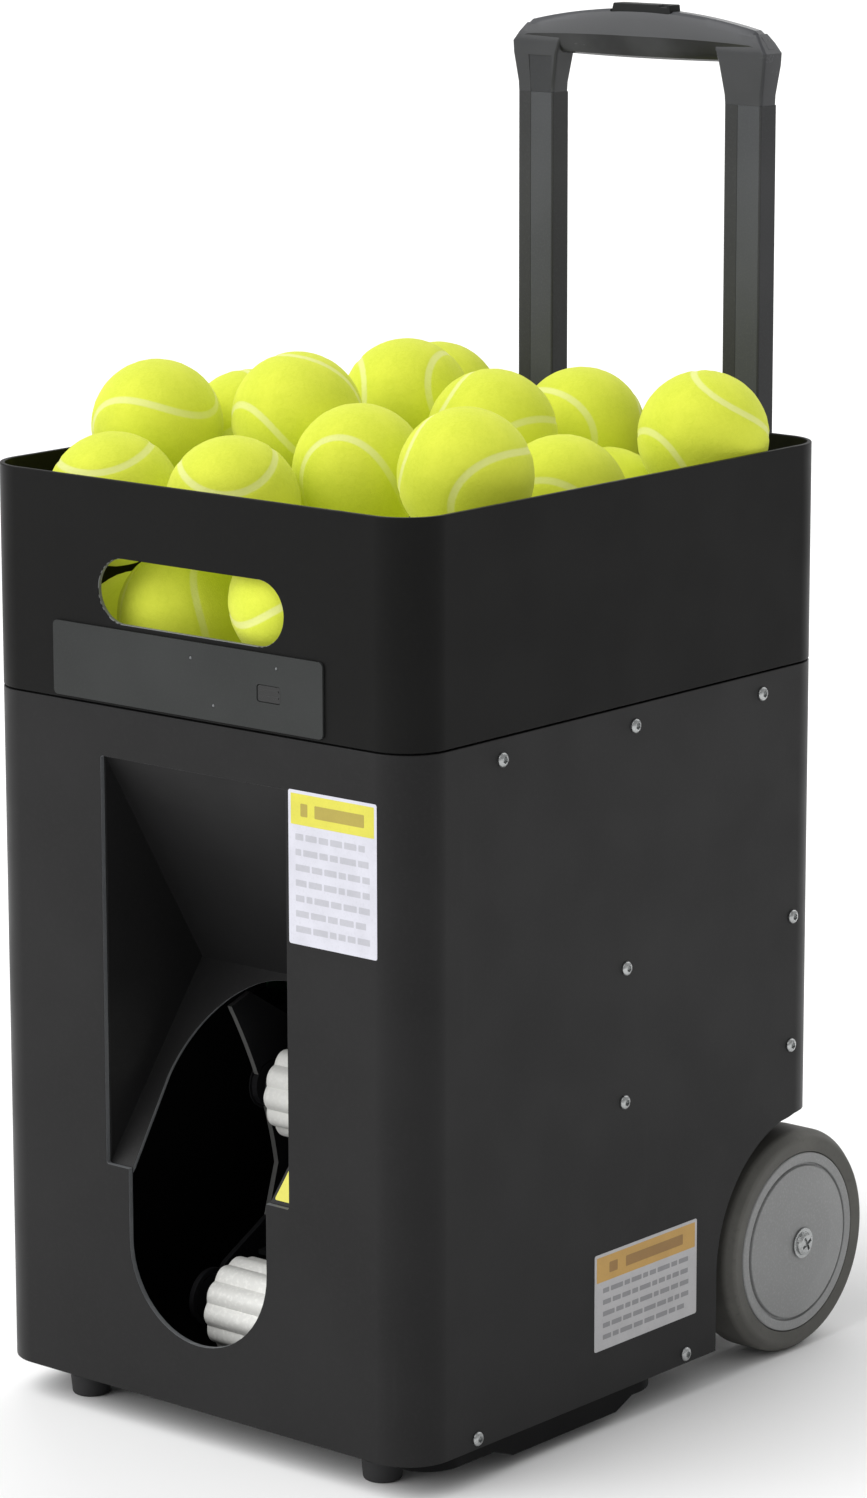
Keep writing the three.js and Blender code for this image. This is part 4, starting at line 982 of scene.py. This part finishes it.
def build_grip():
    leg = grip_leg()
    panel = grip_panel()
    left_panel = moved(panel, shift(-2 * TUBE_X, 0, 0))
    slack = 1.6
    plug = rectangle(TUBE_X - TUBE_W / 2 + slack, TUBE_X + TUBE_W / 2 - slack, TUBE_Y - TUBE_D / 2 + slack,
                     TUBE_Y + TUBE_D / 2 - slack, 1.4, 4)
    plug = prism(plug, "z", GRIP_LEG_LOW - 17, GRIP_LEG_LOW + 3)
    w, d = BUTTON_HALF + 0.4, BUTTON_D / 2 + 0.4
    well = prism(rectangle(-w, w, TUBE_Y - d, TUBE_Y + d, 2), "z", GRIP_CROWN - 10, GRIP_CROWN + 5)
    solid = joined(grip_bar(), leg, mirrored(leg), plug, mirrored(plug))
    solid = cut(solid, panel, left_panel, well)
    piece("pull_grip", solid, "trolley_handle", "grip_black", replaces="handle_grip", smooth=22)
    for side, across in (("left", -2 * TUBE_X), ("right", 0)):
        inset = moved(grip_panel(0.42, 0.2, 0.04), shift(across, 0, 0))
        piece(f"grip_inset_{side}", inset, "trolley_handle", [GRIP_INSET])
    low, high = GRIP_CROWN - 5, BUTTON_TOP
    ends = [(-BUTTON_HALF, low), (BUTTON_HALF, low), (BUTTON_HALF - 0.8, high), (-BUTTON_HALF + 2.2, high)]
    button = prism(ends, "y", TUBE_Y - BUTTON_D / 2, TUBE_Y + BUTTON_D / 2)
    notch = block(BUTTON_HALF - 7.5, BUTTON_HALF - 3, TUBE_Y - 6, TUBE_Y - 1.5, high - 1.2, high + 1)
    piece("press_button", cut(button, notch), "button", "dark_plastic", replaces="release_button", bevel=0.6,
          segments=3)


# Side plates of the launch head

CHEEK_FRONT = [(66, 187), (93, 140), (100, 98)]


def build_cheeks():
    outline = [CHEEK_FRONT[0]] + quadratic(*CHEEK_FRONT, 20) + [(92, 72), (60, 55)]
    outline += arc(ROLLERS["lower"], CHEEK_BOSS, 60, 270, 24) + [(112, 24)]
    outline += quadratic((112, 24), (144, 40), (144, 92), 12) + [(144, 152)]
    outline += quadratic((144, 152), (142, 162), (128, 162), 6) + [(80, 192)]
    holes = []
    for radius, at in ((MOTOR_BOSS, ROLLERS["lower"]), (MOTOR_BOSS, ROLLERS["upper"]), (PIN_R, PIVOT)):
        r = radius + GAP
        holes.append(lathe([(0, -5), (r, -5), (r, 5), (0, 5)], "x", (CHEEK_INNER + 1.5, *at), 48))
    plate = tidied(cut(prism(outline, "x", CHEEK_INNER, CHEEK_OUTER), *holes))
    # The plate's edge faces that look forward take the lighter material: a painted highlight along its front
    # edge.
    mark_cut_edges(plate, lambda c, n: abs(n.x) < 0.5 and n.y < -0.3 and c.z > 80)
    pair("cheek_sheet", plate, "launch_head", ["black_metal", CHEEK_EDGE_HIGHLIGHT], replaces="cheek_plate",
         bevel=0.3)


def build_brackets():
    half = TUBE_X + OUTER_W / 2 + 6
    front, back = DEPTH + GAP, TUBE_Y + OUTER_D / 2 + 3
    opening = rectangle(TUBE_X - OUTER_W / 2 - GAP, TUBE_X + OUTER_W / 2 + GAP,
                        TUBE_Y - OUTER_D / 2 - GAP, TUBE_Y + OUTER_D / 2 + GAP, 3, 5)
    for name, low, high in (("upper", 428, 449), ("lower", 98, 119)):
        hole = prism(opening, "z", low - 1, high + 1)
        window = prism(rectangle(-45, 45, front + 5, back - 5, 3), "z", low - 1, high + 1)
        bar = prism(rectangle(-half, half, front, back, 3), "z", low, high)
        solid = cut(bar, hole, mirrored(hole), window)
        piece(f"clamp_{name}", solid, "chassis", "dark_plastic", replaces=f"{name}_tube_bracket",
              bevel=0.9, segments=3)


def build_rear_panel():
    front = DEPTH + GAP
    w, h = SWITCH_W / 2 + 2 + GAP, SWITCH_H / 2 + 2 + GAP
    hole = lathe([(0, -2), (SOCKET_R - 1 + GAP, -2), (SOCKET_R - 1 + GAP, 6), (0, 6)], "y",
                 (SOCKET_X, front, SOCKET_Z), 48)
    outline = rectangle(-COVER_HALF, COVER_HALF, COVER_LOW, COVER_HIGH, 6, 10)
    plate = cut(
        prism(outline, "y", front, front + COVER_THICK),
        block(SWITCH_X - w, SWITCH_X + w, front - 1, front + 4, SWITCH_Z - h, SWITCH_Z + h),
        hole,
    )
    piece("panel_rear", plate, "chassis", "dark_plastic", replaces="rear_cover", bevel=0.5, segments=3)
    outside = DEPTH + COVER_THICK + 2 * GAP
    barrel, flange = SOCKET_R - 1, SOCKET_R + 1.5
    profile = filleted([(0, -14), (barrel, -14), (barrel, 0), (flange, 0), (flange, 2.5),
                        (SOCKET_BORE, 2.5), (SOCKET_BORE, -10), (0, -10)],
                       (0, 0.3, 0.2, 0.3, 0.8, 0.5, 0.2, 0), 4)
    piece("socket_charge", lathe(profile, "y", (SOCKET_X, outside, SOCKET_Z), 64), "chassis",
          "bright_steel", replaces="charge_socket", smooth=40)
    build_switch(outside)


def build_switch(outside):
    """Framed rocker switch, resting with its lower edge out."""
    w, h = SWITCH_W / 2, SWITCH_H / 2

    def edges(grow):
        return SWITCH_X - w - grow, SWITCH_X + w + grow, SWITCH_Z - h - grow, SWITCH_Z + h + grow

    case = prism(rectangle(*edges(2)), "y", DEPTH - 12, outside + 0.5)
    flange = prism(rectangle(*edges(4), 2.5, 8), "y", outside, outside + 2)
    bezel = cut(joined(case, flange), prism(rectangle(*edges(0)), "y", DEPTH - 10, outside + 4))
    piece("switch_frame", bezel, "chassis", "dark_plastic", replaces="switch_bezel", bevel=0.4,
          segments=3)
    half = h - 0.8
    outline = filleted([(-3, -half * 0.6), (2, -half), (4.4, -half), (2.6, 0), (4.4, half), (2, half),
                        (-3, half * 0.6)], (0.3, 0.5, 0.9, 12, 0.9, 0.5, 0.3), 6)
    paddle = prism(outline, "x", SWITCH_X - w + 2 * GAP, SWITCH_X + w - 2 * GAP)
    at = shift(0, DEPTH + COVER_THICK, SWITCH_Z) @ turned(6, "X")
    piece("switch_paddle", moved(paddle, at), "rocker", "black_gloss", replaces="power_rocker", smooth=35)


# Tennis balls

SEAM_A, SEAM_B = 0.75, 0.25


def seam_points(count=720):
    """The closed curve that both felt panels meet along, on a unit sphere."""
    points = []
    for i in range(count):
        t = 2 * pi * i / count
        point = Vector((SEAM_A * cos(t) + SEAM_B * cos(3 * t),
                        SEAM_A * sin(t) - SEAM_B * sin(3 * t),
                        2 * sqrt(SEAM_A * SEAM_B) * sin(2 * t)))
        points.append(point.normalized())
    return points


def ball_mesh(name, subdivisions):
    curve = seam_points()
    tree = KDTree(len(curve))
    for i, point in enumerate(curve):
        tree.insert(point, i)
    tree.balance()
    solid = bmesh.new()
    bmesh.ops.create_icosphere(solid, subdivisions=subdivisions, radius=1.0)
    chance = random.Random(11)
    distances = []
    for vertex in solid.verts:
        away = tree.find(vertex.co)[2] * BALL_R
        groove = max(0.0, 1 - (away / 2.2) ** 2)
        fuzz = chance.uniform(-0.08, 0.10) * (1 - groove)
        vertex.co *= (BALL_R - 0.45 * groove + fuzz) * MM
        distances.append(away)
    mesh = bpy.data.meshes.new(name)
    solid.to_mesh(mesh)
    solid.free()
    mesh.attributes.new("seam", "FLOAT", "POINT").data.foreach_set("value", distances)
    mesh.polygons.foreach_set("use_smooth", [True] * len(mesh.polygons))
    mesh.materials.append(FELT)
    return mesh


# The heap from its crown down: each ball's centre, and how far its seam is turned about x, y and z.
HEAP = [
    ((-106, 92, 471), (65, 60, -85)), ((-104, 158, 459), (20, 80, 0)), ((-45, 129, 476), (-25, 40, -160)),
    ((-51, 220, 473), (-120, 35, 10)), ((-89, 290, 461), (0, 0, 40)), ((14, 210, 464), (-120, 70, -20)),
    ((8, 290, 456), (90, -45, -100)), ((104, 267, 465), (60, -10, 20)), ((-83, 36, 443), (-95, -55, 45)),
    ((-15, 48, 446), (110, -50, 30)), ((15, 107, 458), (0, 30, -110)), ((85, 104, 463), (-90, 65, 0)),
    ((76, 189, 439), (10, 130, 75)), ((54, 253, 423), (-160, -40, -45)), ((102, 49, 399), (0, 45, 0)),
    ((-48, 48, 388), (-165, 5, -30)), ((37, 36, 406), (60, 0, 110)),
]
HEAP_LOW = [
    (-2, 290, 364), (-61, 182, 392), (-104, 77, 366), (-104, 143, 359), (58, 79, 359), (56, 127, 406),
    (-26, 228, 359), (56, 174, 359), (-2, 152, 384), (104, 128, 360), (88, 284, 369), (-68, 279, 366),
    (104, 220, 362), (-104, 223, 362), (40, 239, 359),
]


def build_balls():
    chance = random.Random(5)
    heap = [(place, turn, 5) for place, turn in HEAP]
    heap += [(place, [chance.uniform(0, 360) for _ in range(3)], 4) for place in HEAP_LOW]
    patterns = {level: ball_mesh(f"tennis_ball_{level}", level) for level in (4, 5)}
    for number, (place, turn, level) in enumerate(heap, 1):
        mesh = patterns[level].copy()
        mesh.transform(Euler([radians(angle) for angle in turn]).to_matrix().to_4x4())
        ball = placed(f"tennis_ball_{number:02d}", mesh)
        ball.location = TO_FRAME @ Vector(place)
        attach(ball, "chassis")
    for mesh in patterns.values():
        bpy.data.meshes.remove(mesh)


# ---------------------------------------------------------------- floor, light and camera

EYE, HEADING, PITCH, ROLL = (1627, -1745, 843), 40.20, 12.05, -0.11
FOCAL, FRAME_HEIGHT, SENSOR = 5078, 1498, 36
SKY, KEY_LIGHT, BACK_LIGHT, SOFTNESS = 0.5, 3.0, 1.2, 70


def build_stage():
    mesh = bpy.data.meshes.new("floor")
    reach = 30
    corners = [(-reach, -reach, 0), (reach, -reach, 0), (reach, reach, 0), (-reach, reach, 0)]
    mesh.from_pydata(corners, [], [(0, 1, 2, 3)])
    floor = placed("floor", mesh)
    s = Surface("floor_pale", (0.93, 0.93, 0.93), 0.8)
    s.tint(s.between(s.noise(3, detail=3), 0.3, 0.7, 0, 0.4), (0.91, 0.91, 0.91))
    mesh.materials.append(s.done())


def sun_light(name, towards, strength, spread):
    """Even light from the direction towards, as soft as a window of that many degrees."""
    data = bpy.data.lights.new(name, "SUN")
    data.energy, data.angle = strength, radians(spread)
    lamp = placed(name, data)
    lamp.rotation_euler = Vector(towards).to_track_quat("Z", "Y").to_euler()


def build_light_and_camera():
    world = bpy.data.worlds.new("studio")
    world.use_nodes = True
    background = world.node_tree.nodes["Background"]
    background.inputs["Color"].default_value = (1, 1, 1, 1)
    background.inputs["Strength"].default_value = SKY
    bpy.context.scene.world = world
    sun_light("key", (-0.42, -0.62, 0.66), KEY_LIGHT, SOFTNESS)
    sun_light("back", (-0.15, 0.72, 0.66), BACK_LIGHT, SOFTNESS)
    data = bpy.data.cameras.new("camera")
    data.lens = FOCAL / FRAME_HEIGHT * SENSOR
    data.sensor_width, data.clip_end = SENSOR, 60
    camera = placed("camera", data)
    camera.location = TO_FRAME @ Vector(EYE)
    aim = turned(HEADING, "Z") @ turned(90 - PITCH, "X") @ turned(ROLL, "Z")
    camera.rotation_euler = aim.to_euler()
    bpy.context.scene.camera = camera
    bpy.context.scene.view_settings.view_transform = "Standard"


build_housing()
build_shell()
build_hood()
build_name_plate()
build_screws()
build_labels()
build_base()
build_wheels()
build_rollers()
build_tubes()
build_grip()
build_cheeks()
build_brackets()
build_rear_panel()
build_balls()
build_stage()
build_light_and_camera()
